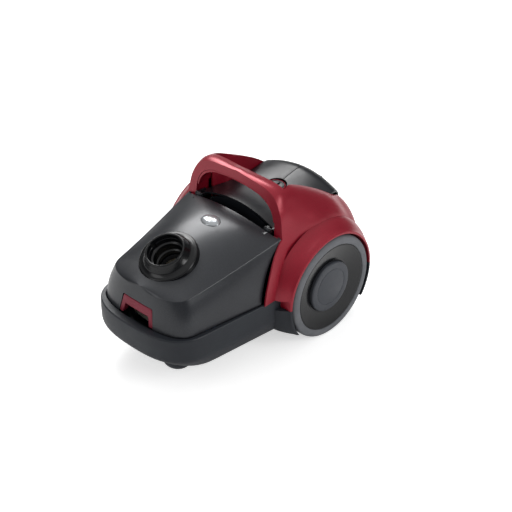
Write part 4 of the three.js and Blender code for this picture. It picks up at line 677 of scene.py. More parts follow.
def make_tub():
    body = lofted("bumper_tub", [band_loop(z, a, b) for z, a, b in tub_levels()])
    for side in (1, -1):
        carve(body, front_pod(side), "UNION")
    inner = lofted("inner", [band_loop(BELLY + WALL, 14 + WALL, 30 + WALL), band_loop(BELLY + 5.5, 10 + WALL, 26 + WALL),
                             band_loop(BELLY + 16.5, 4.5 + WALL, 12 + WALL), band_loop(BELLY + 26.5, 1 + WALL, 2 + WALL),
                             band_loop(DECK_LINE - 12, WALL, WALL)])
    rings = []
    for y in nose_rows(COVER_FRONT - RUN, NOSE_STEPS + 1):
        rings.append(y)
    rings += [mix(COVER_FRONT - RUN + COVER_NOSE, BAND_END_Y + 1, i / 8) for i in range(1, 9)]
    throat = lofted("throat", [mirrored_ring([(foot_half(y + RUN) + RUN, DECK_LINE - 16),
                                              (foot_half(y + RUN) + RUN, DECK_LINE + 5), (0, DECK_LINE + 5)], y)
                               for y in rings])
    carved(body, inner, throat, block(-160, 160, BAND_END_Y, 210, SPLIT_Z - FIT, HANDLE_TOP),
           block(WALL - SIDE, SIDE - WALL, BAND_END_Y - 20, REAR_Y - TAIL_ALONG, SPLIT_Z - 24, HANDLE_TOP),
           block(TAIL_ACROSS - SIDE, SIDE - TAIL_ACROSS, REAR_Y - TAIL_ALONG - 1, REAR_Y - WALL, SPLIT_Z - 24, HANDLE_TOP))
    for side in (1, -1):
        wing = fender(side)
        carve(wing, block(-160, 160, AXLE_Y - 130, AXLE_Y + 130, -5, SPLIT_Z - FIT), "INTERSECT")
        carve(wing, wing_trim())
        carve(body, wing, "UNION")
        inner_x, outer_x = SIDE - WALL - 11, SIDE - WALL - FIT
        x0, x1 = (inner_x, outer_x) if side > 0 else (-outer_x, -inner_x)
        stand = rod("x", 11, x0, x1, [AXLE_Y, AXLE_Z], 48)
        carve(stand, block(x0, x1, AXLE_Y - 11, AXLE_Y + 11, BELLY + 1, AXLE_Z), "UNION")
        carve(body, stand, "UNION")
    boss_y = FRONT_Y + 92
    carve(body, rod("z", 11, BELLY + 1, BELLY + 24, [0, boss_y], 48), "UNION")
    tools = [wheel_pocket(1), wheel_pocket(-1), rod("x", 5.3, -160, 160, [AXLE_Y, AXLE_Z], 48),
             rod("z", 7.3, 0, BELLY + 21, [0, boss_y], 48)]
    for side in (1, -1):
        x, y = middle("glide_left")[0] * side, middle("glide_left")[1]
        tools.append(rod("z", 3.3, 0, BELLY - 3, [x, y], 32))
    return smooth(carved(body, *tools))


# ---- Hose socket, bag indicator and latch ----
def make_collar():
    bore, flange, top = 27.5, 46, 20
    rim = bore + 3.2
    profile = [(flange, -8), (flange, 3.5), (flange - 1.5, 5), (flange - 5, 5.6), (flange - 9.5, 8), (rim + 3, 13),
               (rim + 0.8, top - 2.5), (rim, top), (bore, top), (bore, 12), (bore - 0.9, 11.2), (bore - 0.9, 4),
               (bore - 4.5, 3), (bore - 4.5, -9), (bore - 8, -10), (bore - 8, -24),
               (bore - 5.5, -24), (bore - 5.5, -11), (bore - 2, -8), (bore + 2, 0), (flange - 3, 2), (flange - 3, -8)]
    body = turned("hose_socket", rounded_profile(profile, 1, 3), "z", [0, 0, 0], 128)
    for turn in (0.5, 1.5):
        key = block(-4, 4, bore - 2.2, bore + 0.6, 6, 21)
        key.data.transform(Matrix.Rotation(turn * math.pi, 4, "Z"))
        carve(body, key)
    return smooth(socket_placed(body), 38)


def make_lens():
    profile = [(0, 3.6), (0.2, 3.5), (0.4, 3.15), (0.6, 2.6), (0.76, 1.95), (0.88, 1.15), (0.95, 0.35), (0.99, -0.5),
               (1, -1.2), (1, -6), (0.9, -6), (0.88, -1), (0.6, 1), (0, 1.8)]
    return smooth(oval_placed(turned("indicator_lens_dome", profile, "z", [0, 0, 0], 96)), 40)


def make_lens_window():
    outline = []
    for cx, cy, start in ((4.6, 1.6, 0), (-4.6, 1.6, 1), (-4.6, -1.6, 2), (4.6, -1.6, 3)):
        for i in range(5):
            turn = (start + i / 4) * math.pi / 2
            outline.append((cx + 1.2 * math.cos(turn), cy + 1.2 * math.sin(turn)))
    body = prism(outline, 2.6, 3.75, "xy")
    body.data.transform(Matrix.Translation(Vector((0, HANDLE_Y - 50, cover_top(0, HANDLE_Y - 50))) * MM)
                        @ Matrix.Rotation(0.1, 4, "X"))
    return smooth(bevelled(body, 0.3, 2))


def make_latch():
    back = COVER_FRONT + 12
    body = prism(latch_outline(-RUN, DECK_LINE + RUN, corner=3), COVER_FRONT - 5, back, "xz")
    carve(body, prism(latch_outline(-6.5, DECK_LINE - 9, crest=LATCH_TOP - 8, corner=3), COVER_FRONT - 20, back + 5,
                      "xz"))
    carve(body, cover_block(0.01, BELLY, "flush"), "INTERSECT")
    body = bevelled(body, 1.1, 3, 50)
    spine = block(6 - LATCH_WIDTH / 2, LATCH_WIDTH / 2 - 6, back - 3, back + 8, LATCH_TOP - 8, LATCH_TOP - 4)
    carve(body, spine, "UNION")
    pin = middle("latch_pin")
    carve(body, rod("x", 1.5, -60, 60, pin[1:], 24))
    return smooth(body, 40)


# ---- Wheels ----
DISH_RADIUS = WHEEL_RADIUS - 13.5
HUB_RADIUS = 42


def make_tyre(side):
    f, b = WHEEL_FACE, WHEEL_BACK
    profile = [(DISH_RADIUS + FIT, b), (WHEEL_RADIUS - 3, b), (WHEEL_RADIUS, b + 3), (WHEEL_RADIUS, f - 6),
               (WHEEL_RADIUS - 1.2, f - 2.6), (WHEEL_RADIUS - 4, f - 0.6), (WHEEL_RADIUS - 8, f),
               (DISH_RADIUS + 1, f - 0.6), (DISH_RADIUS + FIT, f - 1.6)]
    profile = rounded_profile([(r, a * side) for r, a in profile], 2.4, 4)
    return smooth(turned("tyre", profile, "x", [0, AXLE_Y, AXLE_Z], 128), 40)


def make_dish(side):
    bore, floor = 5.3, WHEEL_FACE - 8.1
    profile = [(bore, WHEEL_BACK + 1), (bore + 5, WHEEL_BACK + 1), (bore + 6, floor - 6), (DISH_RADIUS - 4, floor - 3),
               (DISH_RADIUS - 3, WHEEL_BACK), (DISH_RADIUS, WHEEL_BACK), (DISH_RADIUS, WHEEL_FACE - 1.6),
               (DISH_RADIUS - 2, WHEEL_FACE - 1.6), (HUB_RADIUS + 3, floor), (HUB_RADIUS + FIT, floor),
               (HUB_RADIUS + FIT, floor - 2), (bore, floor - 2)]
    profile = rounded_profile([(r, a * side) for r, a in profile], 0.9, 3)
    return smooth(turned("wheel_dish", profile, "x", [0, AXLE_Y, AXLE_Z], 128), 34)


def make_hub(side):
    floor, face = WHEEL_FACE - 9.8, WHEEL_FACE - 3
    profile = [(0, floor), (HUB_RADIUS, floor), (HUB_RADIUS, face - 1.5), (HUB_RADIUS - 1.5, face), (31, face),
               (30.7, face - 0.5), (29.9, face - 0.5), (29.6, face), (0, face)]
    profile = rounded_profile([(r, a * side) for r, a in profile], 0.5, 2)
    return smooth(turned("hub_disc", profile, "x", [0, AXLE_Y, AXLE_Z], 128), 40)


def make_caster_wheel():
    x, y, z = middle("caster_wheel")
    profile = rounded_profile([(2.3, -7), (6, -7), (7, -5.8), (10, -5.8), (11, -7), (13, -7), (15, -5), (15, 5), (13, 7),
                               (11, 7), (10, 5.8), (7, 5.8), (6, 7), (2.3, 7)], 1, 3)
    return smooth(turned("caster_tread", profile, "x", [x, y, z], 64), 40)


def make_glide(side):
    x, y = middle("glide_left")[0] * side, middle("glide_left")[1]
    low = BELLY - 9
    profile = rounded_profile([(0, low - 4.7), (6, low - 4.7), (9, low - 2.5), (9, low - 0.3), (3, low - 0.3),
                               (3, low + 5), (0, low + 5)], 1, 3)
    return smooth(turned("glide_foot", profile, "z", [x, y, 0], 48), 40)


# ---- Deck, pedals and knob ----
DECK_FRONT = HANDLE_Y + 2
DECK_KNOTS = [(HANDLE_Y, 210.5), (HANDLE_Y + 14, 210), (HANDLE_Y + 42, 204), (AXLE_Y + 10, 201), (AXLE_Y + 35, 204),
              (AXLE_Y + 60, 209), (AXLE_Y + 78, 210), (REAR_Y - 14, 199), (REAR_Y, 174)]
DECK_CURVE = plain_spline(DECK_KNOTS, 160)
PEDAL_FRONT = AXLE_Y + 8
PEDAL_REAR = REAR_Y - 12
PEDAL_DROP = 12
KNOB_Y = AXLE_Y + 19
STEM_X = SIDE - 78
STEM_Y = AXLE_Y + 52


def deck_middle(y):
    return read_curve(DECK_CURVE, 0, 1, y)


def deck_crown(y):
    return (3 + 12 * (1 - smoothstep(y, HANDLE_Y + 5, HANDLE_Y + 60))
            + 13 * smoothstep(y, AXLE_Y + 5, AXLE_Y + 75))


def deck_ring(y, drop, shrink, depth, steps=14):
    half = well_half(y) - shrink
    top = [(half * s, deck_middle(y) - deck_crown(y) * s * s - drop) for s in (1 - t for t in shares(steps))]
    under = [(x, z - depth) for x, z in top]
    right = under[::-1] + top
    left = [(-x, z) for x, z in top[:-1][::-1] + under[:-1]]
    return [(x, y, z) for x, z in right + left]


def deck_loft(front, rear, drop, shrink, depth, steps=12):
    return lofted("deck", [deck_ring(mix(front, rear, s), drop, shrink, depth) for s in shares(steps)])


def ahead_outline(ends, mid, count=40):
    """Outline of everything ahead of a curve across the deck that bows back in the middle."""
    control = 2 * mid - ends
    curve = [(mix(SIDE, -SIDE, i / count), ends * (1 - i / count) ** 2 + control * 2 * i / count * (1 - i / count)
              + ends * (i / count) ** 2) for i in range(count + 1)]
    return [(-SIDE, FRONT_Y), (SIDE, FRONT_Y)] + curve


def make_deck():
    body = deck_loft(DECK_FRONT, PEDAL_FRONT - FIT, 0, RUN, 3, 24)
    shelf = deck_loft(PEDAL_FRONT - 3, PEDAL_REAR + 3, PEDAL_DROP, 2, 3, 20)
    riser = deck_loft(PEDAL_FRONT - 4, PEDAL_FRONT - 1, 1, 3, PEDAL_DROP + 0.4, 1)
    tail_riser = deck_loft(PEDAL_REAR + 1, PEDAL_REAR + 4, 1, 3, PEDAL_DROP + 0.5, 1)
    tail = deck_loft(PEDAL_REAR + FIT, REAR_Y, 0, RUN, 8, 8)
    cup = rod("z", 18.7, deck_middle(KNOB_Y) - PEDAL_DROP - 2, deck_middle(KNOB_Y) - 1, [0, KNOB_Y], 64)
    for piece in (shelf, riser, tail_riser, tail, cup):
        carve(body, piece, "UNION")
    pin_x, pin_y, pin_z = middle("lid_hinge_pin_left")
    back = deck_loft(DECK_FRONT, DECK_FRONT + 16, 2, pin_x - 52, 26, 6)
    carve(back, prism(ahead_outline(DECK_FRONT + 2.5, DECK_FRONT + 9.5), pin_z - 14, HANDLE_TOP, "xy"), "INTERSECT")
    carve(body, back, "UNION")
    carve(body, prism(ahead_outline(DECK_FRONT, DECK_FRONT + 7), 0, 550, "xy"))
    carve(body, block(12 - pin_x, pin_x - 12, HANDLE_Y - 8, DECK_FRONT + 16, pin_z - 15, pin_z - 13), "UNION")
    for side in (-1, 1):
        for x in (-6.5, 3.5):
            left = side * pin_x + x
            carve(body, block(left, left + 3, pin_y, DECK_FRONT + 14, pin_z - 3.6, pin_z + 1.5), "UNION")
            carve(body, rod("x", 3.6, left, left + 3, [pin_y, pin_z], 32), "UNION")
    carved(body, block(-150, 150, PEDAL_REAR, 220, 0, WELL_FLOOR + FIT),
           rod("x", 1.9, -150, 150, [pin_y, pin_z], 24),
           rod("z", 18, deck_middle(KNOB_Y) - 7, 500, [0, KNOB_Y], 64), rod("z", 4.3, 150, 500, [0, KNOB_Y], 32),
           rod("z", 5.3, 130, HANDLE_TOP, [STEM_X, STEM_Y], 32), rod("z", 5.3, 130, HANDLE_TOP, [-STEM_X, STEM_Y], 32))
    return smooth(body, 30)


def make_pedal(side):
    rings = []
    for i in range(21):
        y = mix(PEDAL_FRONT, PEDAL_REAR, i / 20)
        half = well_half(y) - RUN - FIT
        top = [mix(half, 0.5, s / 12) for s in range(13)]
        top = [(x, deck_middle(y) - deck_crown(y) * (x / half) ** 2) for x in top]
        under = [(x, z - 3) for x, z in top[::-1]]
        rings.append([(side * x, y, z) for x, z in top + under])
    body = lofted("pedal", rings)
    carve(body, rod("z", 19, 0, 500, [0, KNOB_Y], 96))
    body = bevelled(body, 0.9, 3, 40)
    foot = middle("brake_pin")[2] + 1.9 if side > 0 else span("power_switch")[1][2] + 5.3
    top = deck_middle(STEM_Y) - deck_crown(STEM_Y) * (STEM_X / well_half(STEM_Y)) ** 2
    carve(body, rod("z", 5, foot, top - 2.1, [side * STEM_X, STEM_Y], 32), "UNION")
    return smooth(body, 32)


def knob_foot():
    return deck_middle(KNOB_Y) - 6.7


def make_knob():
    z, r = knob_foot(), 17
    profile = [(0, z - 20), (4, z - 20), (4, z), (r - 1.7, z), (r - 1.7, z + 7.4), (r - 4, z + 7.9), (r - 5, z + 7),
               (0, z + 7)]
    body = turned("knob_cap", rounded_profile(profile, 0.6, 3), "z", [0, KNOB_Y, 0], 96)
    grip = bevelled(block(-1.5, 1.5, KNOB_Y - 11, KNOB_Y + 11, z + 6, z + 8.6), 0.7, 3)
    carve(body, grip, "UNION")
    return smooth(body, 34)


def make_knob_ring():
    z, r = knob_foot(), 17
    profile = [(r - 1.75, z + 0.1), (r, z + 0.1), (r, z + 6), (r - 0.6, z + 7.6), (r - 1.75, z + 7.9)]
    return smooth(turned("knob_ring", rounded_profile(profile, 0.5, 3), "z", [0, KNOB_Y, 0], 96), 40)


def make_cord_outlet():
    x, _, z = middle("cord_outlet")
    y = REAR_Y + 0.6
    profile = [(4, y - 7), (7, y - 7), (7, y - 0.3), (9, y - 0.3),
               (9, y + 2), (7, y + 3.2), (5, y + 3.2), (4, y + 2)]
    return smooth(turned("cord_bush", rounded_profile(profile, 0.5, 2), "y", [x, 0, z], 64), 36)


def finished_copy(node, name, width=0.6, segments=2):
    return smooth(bevelled(copy_of(node, name), width, segments, 50), 40)


# ---- Dust bag ----
def make_bag():
    """The full fleece bag: a soft loaf with gathered ends and slack folds along its sides."""
    low, high = span("dust_bag")
    front, rear, foot = low[1], high[1], low[2]
    half = high[0]
    tops = [(i / 7, z) for i, z in enumerate([112, 142, 158, 162, 158, 150, 140, 116])]
    rings = []
    for i in range(49):
        s = i / 48
        swell = math.sin(math.pi * mix(0.12, 0.88, s)) ** 0.35
        height = (read_curve(plain_spline(tops, 60), 0, 1, s) - foot) / 2
        ring = []
        for k in range(72):
            turn = k / 72 * 2 * math.pi
            fold = 1 - 0.018 * (0.5 + 0.5 * math.sin(9 * turn + 5 * math.sin(3 * s * math.pi)))
            fold -= 0.014 * (0.5 + 0.5 * math.sin(23 * s + 2.2 * math.sin(2 * turn)))
            square = lambda v: math.copysign(abs(v) ** 0.6, v)
            ring.append((half * swell * fold * square(math.cos(turn)) * 0.985, mix(front, rear, s),
                         foot + height + height * fold * square(math.sin(turn)) * swell * 0.985))
        rings.append(ring)
    body = lofted("fleece_bag", rings)
    cover = turned("above", [(0, -30.6), (300, -30.6), (300, 200), (0, 200)], "z", [0, 0, 0], 48)
    carve(body, socket_placed(cover))
    neck = turned("neck", [(19, -41), (27, -41), (27, -27.3), (19, -27.3)], "z", [0, 0, 0], 64)
    carve(body, socket_placed(neck), "UNION")
    return smooth(body, 60)


# ---- Finishes ----
def shade(code):
    """A display colour written as hex, as the linear colour a shader takes."""
    values = [int(code[i:i + 2], 16) / 255 for i in (1, 3, 5)]
    return [v / 12.92 if v <= 0.04045 else ((v + 0.055) / 1.055) ** 2.4 for v in values] + [1]


def put(tree, kind, inputs=None, **settings):
    """Adds a node, sets it up and joins or fills its sockets."""
    made = tree.nodes.new(kind)
    for name, value in settings.items():
        setattr(made, name, value)
    for name, value in (inputs or {}).items():
        if isinstance(value, bpy.types.NodeSocket):
            tree.links.new(value, made.inputs[name])
        else:
            made.inputs[name].default_value = value
    return made


def blank(name):
    made = bpy.data.materials.new(name)
    made.use_nodes = True
    made.node_tree.nodes.clear()
    tree = made.node_tree
    place = put(tree, "ShaderNodeTexCoord").outputs["Object"]
    return made, tree, place


def speckle(tree, place, size, detail=2.0, rough=0.5, stretch=(1, 1, 1)):
    """Noise whose patches are about this many millimetres across."""
    if stretch != (1, 1, 1):
        place = put(tree, "ShaderNodeMapping", {"Vector": place, "Scale": stretch}).outputs["Vector"]
    return put(tree, "ShaderNodeTexNoise", {"Vector": place, "Scale": 1000 / size, "Detail": detail,
                                            "Roughness": rough}).outputs["Fac"]


def ranged(tree, value, low, high, start=0.3, end=0.7):
    return put(tree, "ShaderNodeMapRange", {"Value": value, "From Min": start, "From Max": end, "To Min": low,
                                            "To Max": high}).outputs["Result"]


def blended(tree, value, first, second):
    mixed = put(tree, "ShaderNodeMix", data_type="RGBA")
    for socket, colour in (("A", first), ("B", second)):
        target = [s for s in mixed.inputs if s.name == socket and s.type == "RGBA"][0]
        if isinstance(colour, bpy.types.NodeSocket):
            tree.links.new(colour, target)
        else:
            target.default_value = colour
    tree.links.new(value, mixed.inputs["Factor"])
    return [s for s in mixed.outputs if s.type == "RGBA"][0]


def raised(tree, height, depth, under=None):
    """Relief of this many millimetres."""
    inputs = {"Height": height, "Distance": depth * MM, "Strength": 1.0}
    if under:
        inputs["Normal"] = under
    return put(tree, "ShaderNodeBump", inputs).outputs["Normal"]


def closed(tree, made, inputs):
    surface = put(tree, "ShaderNodeBsdfPrincipled", inputs).outputs["BSDF"]
    put(tree, "ShaderNodeOutputMaterial", {"Surface": surface})
    return made


def moulded(name, colour, worn, rough, grain=0.6, depth=0.02, **more):
    """Injection-moulded plastic: a spark-eroded grain, faint flow patches and roughness that drifts with handling."""
    made, tree, place = blank(name)
    flow = speckle(tree, place, 60, 3)
    grains = speckle(tree, place, grain, 3, 0.6)
    wiped = speckle(tree, place, 22, 4, 0.65)
    inputs = {"Base Color": blended(tree, ranged(tree, flow, 0, 1), shade(colour), shade(worn)),
              "Roughness": ranged(tree, wiped, rough - 0.04, rough + 0.06),
              "Normal": raised(tree, grains, depth)}
    inputs.update(more)
    return closed(tree, made, inputs)


def flaked(name, colour, bright, rough, **more):
    """Metallic plastic: fine flakes under a clear skin that softly mirrors the room."""
    made, tree, place = blank(name)
    cells = put(tree, "ShaderNodeTexVoronoi", {"Vector": place, "Scale": 1000 / 0.45}, feature="F1")
    glint = put(tree, "ShaderNodeSeparateColor", {"Color": cells.outputs["Color"]}).outputs["Red"]
    flow = speckle(tree, place, 70, 2)
    share = put(tree, "ShaderNodeMath", {0: glint, 1: ranged(tree, flow, 0.35, 0.75)}, operation="MULTIPLY")
    wiped = speckle(tree, place, 30, 4, 0.6)
    skin = speckle(tree, place, 0.5, 2)
    inputs = {"Base Color": blended(tree, share.outputs["Value"], shade(colour), shade(bright)),
              "Roughness": ranged(tree, wiped, rough - 0.03, rough + 0.05),
              "Normal": raised(tree, skin, 0.0015)}
    inputs.update(more)
    return closed(tree, made, inputs)


def brushed(name, colour, dark, rough=0.32, stretch=(0.08, 1, 1)):
    """Drawn steel: fine lines along the work, and a slightly uneven shine."""
    made, tree, place = blank(name)
    lines = speckle(tree, place, 0.35, 3, 0.6, stretch)
    stain = speckle(tree, place, 14, 3)
    return closed(tree, made, {"Base Color": blended(tree, ranged(tree, stain, 0, 1), shade(colour), shade(dark)),
                               "Roughness": ranged(tree, lines, rough - 0.08, rough + 0.12), "Metallic": 1.0,
                               "Normal": raised(tree, lines, 0.008)})


def rubbery(name, colour, dusty, rough=0.68, depth=0.04):
    """Soft rubber: a matt skin with pores and pale dust in patches."""
    made, tree, place = blank(name)
    dust = speckle(tree, place, 18, 5, 0.7)
    pores = speckle(tree, place, 0.9, 4, 0.7)
    return closed(tree, made, {"Base Color": blended(tree, ranged(tree, dust, 0, 1, 0.42, 0.72), shade(colour),
                                                     shade(dusty)),
                               "Roughness": ranged(tree, pores, rough - 0.06, rough + 0.1),
                               "Specular IOR Level": 0.35, "Normal": raised(tree, pores, depth)})


def fibrous(name, colour, shadow, size, depth, sheen=0.3, stretch=(1, 1, 1)):
    """Pressed fibres: short threads lying over each other, with a soft edge glow."""
    made, tree, place = blank(name)
    threads = speckle(tree, place, size, 6, 0.75, stretch)
    clumps = speckle(tree, place, size * 14, 4, 0.6)
    tone = blended(tree, ranged(tree, threads, 0, 1), shade(shadow), shade(colour))
    soft = raised(tree, clumps, depth * 6)
    return closed(tree, made, {"Base Color": tone, "Roughness": ranged(tree, clumps, 0.82, 0.96),
                               "Sheen Weight": sheen, "Sheen Roughness": 0.5,
                               "Normal": raised(tree, threads, depth, soft)})


def porous(name, colour, hole, size=1.6):
    """Open foam: rounded cells whose insides carry painted shade."""
    made, tree, place = blank(name)
    cells = put(tree, "ShaderNodeTexVoronoi", {"Vector": place, "Scale": 1000 / size},
                feature="F1").outputs["Distance"]
    # painted shade: the darker colour sits at each cell's centre, standing in for shade down inside the pores
    tone = blended(tree, ranged(tree, cells, 0, 1, 0.15, 0.6), shade(hole), shade(colour))
    return closed(tree, made, {"Base Color": tone, "Roughness": 0.95, "Normal": raised(tree, cells, 0.4)})


def tracked(name, colour, copper):
    """Lacquered circuit board: pale tracks under a green mask, over glass cloth."""
    made, tree, place = blank(name)
    cells = put(tree, "ShaderNodeTexVoronoi", {"Vector": place, "Scale": 1000 / 9.0}, feature="DISTANCE_TO_EDGE",
                distance="EUCLIDEAN").outputs["Distance"]
    weave = speckle(tree, place, 0.5, 2)
    tone = blended(tree, ranged(tree, cells, 1, 0, 0.05, 0.09), shade(colour), shade(copper))
    return closed(tree, made, {"Base Color": tone, "Roughness": ranged(tree, weave, 0.3, 0.45),
                               "Coat Weight": 0.3, "Coat Roughness": 0.2, "Normal": raised(tree, cells, 0.05)})


FINISHES = {
    # graphite cover: dark metallic plastic whose crown goes pale under the soft light above
    "cover_metallic_plastic": flaked("graphite_metallic_plastic", "#1f2126", "#34373d", 0.34, Metallic=0.25,
                                     **{"Coat Weight": 0.35, "Coat Roughness": 0.2}),
    # bumper and deck: dark satin moulding with a fine grain, slightly blue
    "dark_plastic": moulded("grained_dark_plastic", "#23262c", "#272b31", 0.42, 0.7, 0.02,
                            **{"Specular IOR Level": 0.35}),
    # hose socket and wheel dishes: deep polished black
    "black_gloss": moulded("polished_black_plastic", "#0a0b0d", "#0e0f12", 0.2, 2.0, 0.002,
                           **{"Specular IOR Level": 0.4}),
    # prongs, grille, caster fork: matt black
    "black_plastic": moulded("matt_black_plastic", "#17181b", "#1d1e22", 0.5, 0.6, 0.03),
    # rear shell and handle: wine red with a metallic bloom
    "red_gloss": flaked("wine_red_metallic_plastic", "#8c0e24", "#b51b35", 0.34, Metallic=0.35,
                        **{"Coat Weight": 0.25, "Coat Roughness": 0.25}),
    # hub discs: satin graphite, a step lighter than the dish
    "hub_plastic": moulded("satin_graphite_plastic", "#3b3e44", "#41444a", 0.4, 0.8, 0.015,
                           **{"Specular IOR Level": 0.35}),
    # tyres: soft grey rubber with a matt edge
    "tyre_rubber": rubbery("soft_grey_rubber", "#65676b", "#717377", 0.62, 0.02),
    # pins, axles and springs: drawn steel
    "steel": brushed("drawn_steel", "#b4b6ba", "#96989c"),
    # seals and gaskets: black rubber
    "seal_rubber": rubbery("black_seal_rubber", "#1c1d1f", "#26272a", 0.6),
    # bag indicator: silvered clear plastic
    "silver_lens": flaked("silvered_lens_plastic", "#a9adb1", "#c8cbce", 0.16, Metallic=0.55,
                          **{"Coat Weight": 0.8, "Coat Roughness": 0.05}),
    # indicator flag: white moulding
    "flag_plastic": moulded("pale_flag_plastic", "#d5d9d7", "#dde0de", 0.4),
    # filter bag: pale fleece of pressed fibres
    "bag_fleece": fibrous("bag_fleece", "#d8d3c6", "#b8b2a2", 0.7, 0.12, 0.4),
    # bag plate: grey-brown card
    "bag_card": fibrous("pressed_card", "#b39b72", "#9c855e", 0.9, 0.05, 0.1, (1, 0.3, 1)),
    # bag holder: blue-grey moulding that marks what the user takes out
    "holder_plastic": moulded("blue_grey_holder_plastic", "#4f627c", "#566a85", 0.45),
    # motor filter: charcoal foam, with painted shade inside its open cells
    "filter_foam": porous("charcoal_foam", "#55575c", "#1e1f22"),
    # exhaust filter: pleated paper
    "filter_paper": fibrous("filter_paper", "#dedacb", "#c7c2b1", 0.5, 0.03, 0.1),
    # motor and fan: pressed steel
    "motor_steel": brushed("pressed_steel", "#a2a4a8", "#85878b", 0.38, (1, 0.1, 1)),
    # cord reel: light grey moulding
    "reel_plastic": moulded("light_grey_reel_plastic", "#8d9095", "#96999e", 0.42),
    # speed control board
    "board": tracked("green_circuit_board", "#1f5a38", "#3f8a5c"),
}
# window of the indicator: pale clear plastic
PALE_WINDOW = moulded("pale_window_plastic", "#c4c9c4", "#cfd3cf", 0.1, 3.0, 0.001, **{"Coat Weight": 1.0,
                                                                                     "Coat Roughness": 0.03})
# deck and pedals: near-black satin, smoother than the bumper
DECK_BLACK = moulded("satin_black_deck_plastic", "#14161a", "#181a1f", 0.34, 0.8, 0.008, **{"Specular IOR Level": 0.4})
# latch frame: the same red without a clear skin, so it looks paler and softer
LATCH_RED = flaked("satin_red_plastic", "#7a2031", "#943246", 0.42, Metallic=0.25)


# ---- Assembly ----
SLOTS = {entry["node"]: entry["material_slot"] for entry in frame["record"]["subparts"]}
BODIES = {node: body for body, nodes in frame["record"]["behaviour"]["bodies"].items() for node in nodes}


def dressed(obj, finish):
    obj.data.materials.clear()
    obj.data.materials.append(finish)


def fitted(obj, node, name=None, finish=None, stands=True):
    """Names a finished piece, dresses it, and lets it move with its node's body in that node's place."""
    obj.name = name or f"{node}_skin"
    slot = SLOTS[node]
    dressed(obj, finish or FINISHES[slot])
    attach(obj, BODIES[node])
    if stands:
        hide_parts(node)
    return obj


fitted(make_cover(), "lid")
fitted(make_tub(), "base_housing")
fitted(make_rear_shell(), "rear_shell")
fitted(make_handle_liner(), "handle_liner")
fitted(make_collar(), "inlet_collar")
fitted(make_lens(), "indicator_lens")
fitted(make_lens_window(), "indicator_lens", "indicator_window", PALE_WINDOW, stands=False)
fitted(make_latch(), "lid_latch", finish=LATCH_RED)
fitted(make_deck(), "deck_panel", finish=DECK_BLACK)
fitted(make_pedal(-1), "power_pedal", finish=DECK_BLACK)
fitted(make_pedal(1), "rewind_pedal", finish=DECK_BLACK)
fitted(make_knob(), "suction_knob", finish=DECK_BLACK)
fitted(make_knob_ring(), "suction_knob", "suction_knob_ring", stands=False)
fitted(make_cord_outlet(), "cord_outlet")
fitted(make_caster_wheel(), "caster_wheel")
fitted(make_bag(), "dust_bag")
for hand, turn in (("left", 1), ("right", -1)):
    fitted(make_tyre(turn), f"tyre_{hand}")
    fitted(make_dish(turn), f"wheel_dish_{hand}")
    fitted(make_hub(turn), f"hub_disc_{hand}")
    fitted(make_glide(turn), f"glide_{hand}")
for part, edge in (("exhaust_grille", 0.4), ("parking_fork", 0.8), ("caster_fork", 0.5)):
    fitted(finished_copy(part, part, edge), part)
for pedal_name in ("power_pedal", "rewind_pedal"):
    coil_name = f"{pedal_name}_spring"
    spring = fitted(smooth(copy_of(coil_name, "coil"), 50), coil_name)
    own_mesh(spring)
for part, obj in frame["nodes"].items():
    for entry in obj.material_slots:
        entry.material = FINISHES[SLOTS[part]]


# ---- Floor, light and camera ----
def make_floor():
    deselect()
    bpy.ops.mesh.primitive_plane_add(size=8)
    obj = bpy.context.object
    obj.name = "studio_floor"
    made, tree, _ = blank("pale_studio_floor")
    path = put(tree, "ShaderNodeLightPath")
    matt = put(tree, "ShaderNodeBsdfDiffuse", {"Color": shade("#f8f8f8")}).outputs["BSDF"]
    glow = put(tree, "ShaderNodeEmission", {"Color": [1, 1, 1, 1], "Strength": 0.55}).outputs["Emission"]
    lifted = put(tree, "ShaderNodeAddShader", {0: matt, 1: glow}).outputs["Shader"]
    both = put(tree, "ShaderNodeMixShader", {"Fac": path.outputs["Is Camera Ray"], 1: matt, 2: lifted})
    put(tree, "ShaderNodeOutputMaterial", {"Surface": both.outputs["Shader"]})
    dressed(obj, made)


def make_light(name, place, aim, size, power):
    data = bpy.data.lights.new(name, "AREA")
    data.shape = "RECTANGLE"
    data.size, data.size_y = size
    data.energy = power
    obj = bpy.data.objects.new(name, data)
    obj.location = place
    obj.rotation_euler = (Vector(aim) - Vector(place)).to_track_quat("-Z", "Y").to_euler()
    bpy.context.scene.collection.objects.link(obj)


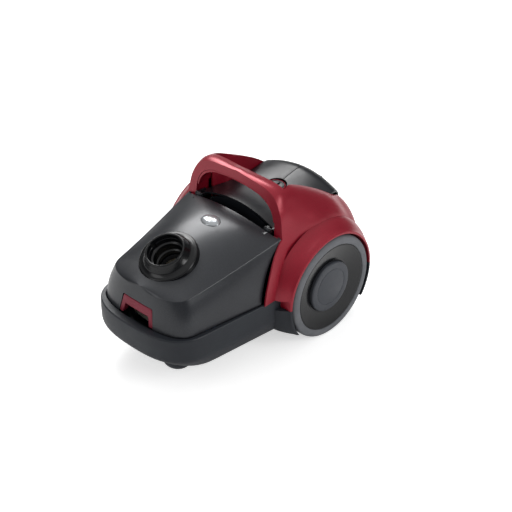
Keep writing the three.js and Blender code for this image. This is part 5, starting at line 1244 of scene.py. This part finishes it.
def make_world():
    world = bpy.data.worlds.new("studio")
    bpy.context.scene.world = world
    world.use_nodes = True
    tree = world.node_tree
    tree.nodes.clear()
    path = put(tree, "ShaderNodeLightPath")
    seen = put(tree, "ShaderNodeMath", {0: path.outputs["Is Camera Ray"], 1: path.outputs["Is Transmission Ray"]},
               operation="MAXIMUM").outputs["Value"]
    heading = put(tree, "ShaderNodeTexCoord").outputs["Generated"]
    height = put(tree, "ShaderNodeSeparateXYZ", {"Vector": heading}).outputs["Z"]
    mirrored = put(tree, "ShaderNodeMapRange", {"Value": height, "From Min": 0.35, "To Min": 0.12, "To Max": 0.75})
    around = put(tree, "ShaderNodeMix", {"Factor": path.outputs["Is Glossy Ray"], "A": 0.5,
                                         "B": mirrored.outputs["Result"]}, data_type="FLOAT").outputs["Result"]
    strength = put(tree, "ShaderNodeMath", {0: seen, 1: around}, operation="MAXIMUM").outputs["Value"]
    sky = put(tree, "ShaderNodeBackground", {"Color": [1, 1, 1, 1], "Strength": strength}).outputs["Background"]
    put(tree, "ShaderNodeOutputWorld", {"Surface": sky})


def make_camera():
    data = bpy.data.cameras.new("camera")
    data.lens = 105.47
    data.sensor_width = 36
    obj = bpy.data.objects.new("camera", data)
    bpy.context.scene.collection.objects.link(obj)
    aim = Vector((0, 0.06628, 0.08984))
    turn, rise = math.radians(43.718), math.radians(34.397)
    away = Vector((math.sin(turn) * math.cos(rise), -math.cos(turn) * math.cos(rise), math.sin(rise)))
    obj.location = aim + away * 2.3655
    obj.rotation_euler = (-away).to_track_quat("-Z", "Y").to_euler()
    bpy.context.scene.camera = obj


make_floor()
make_world()
make_light("key_softbox", (-1.25, 0.85, 1.6), (0, -0.05, 0.2), (1.1, 1.1), 30)
make_light("front_softbox", (-0.9, -2.0, 1.3), (0, 0, 0.1), (0.9, 1.4), 6)
make_light("side_softbox", (2.1, 0.5, 1.3), (0, 0.05, 0.15), (0.8, 1.2), 16)
make_camera()
bpy.context.scene.view_settings.view_transform = "Standard"
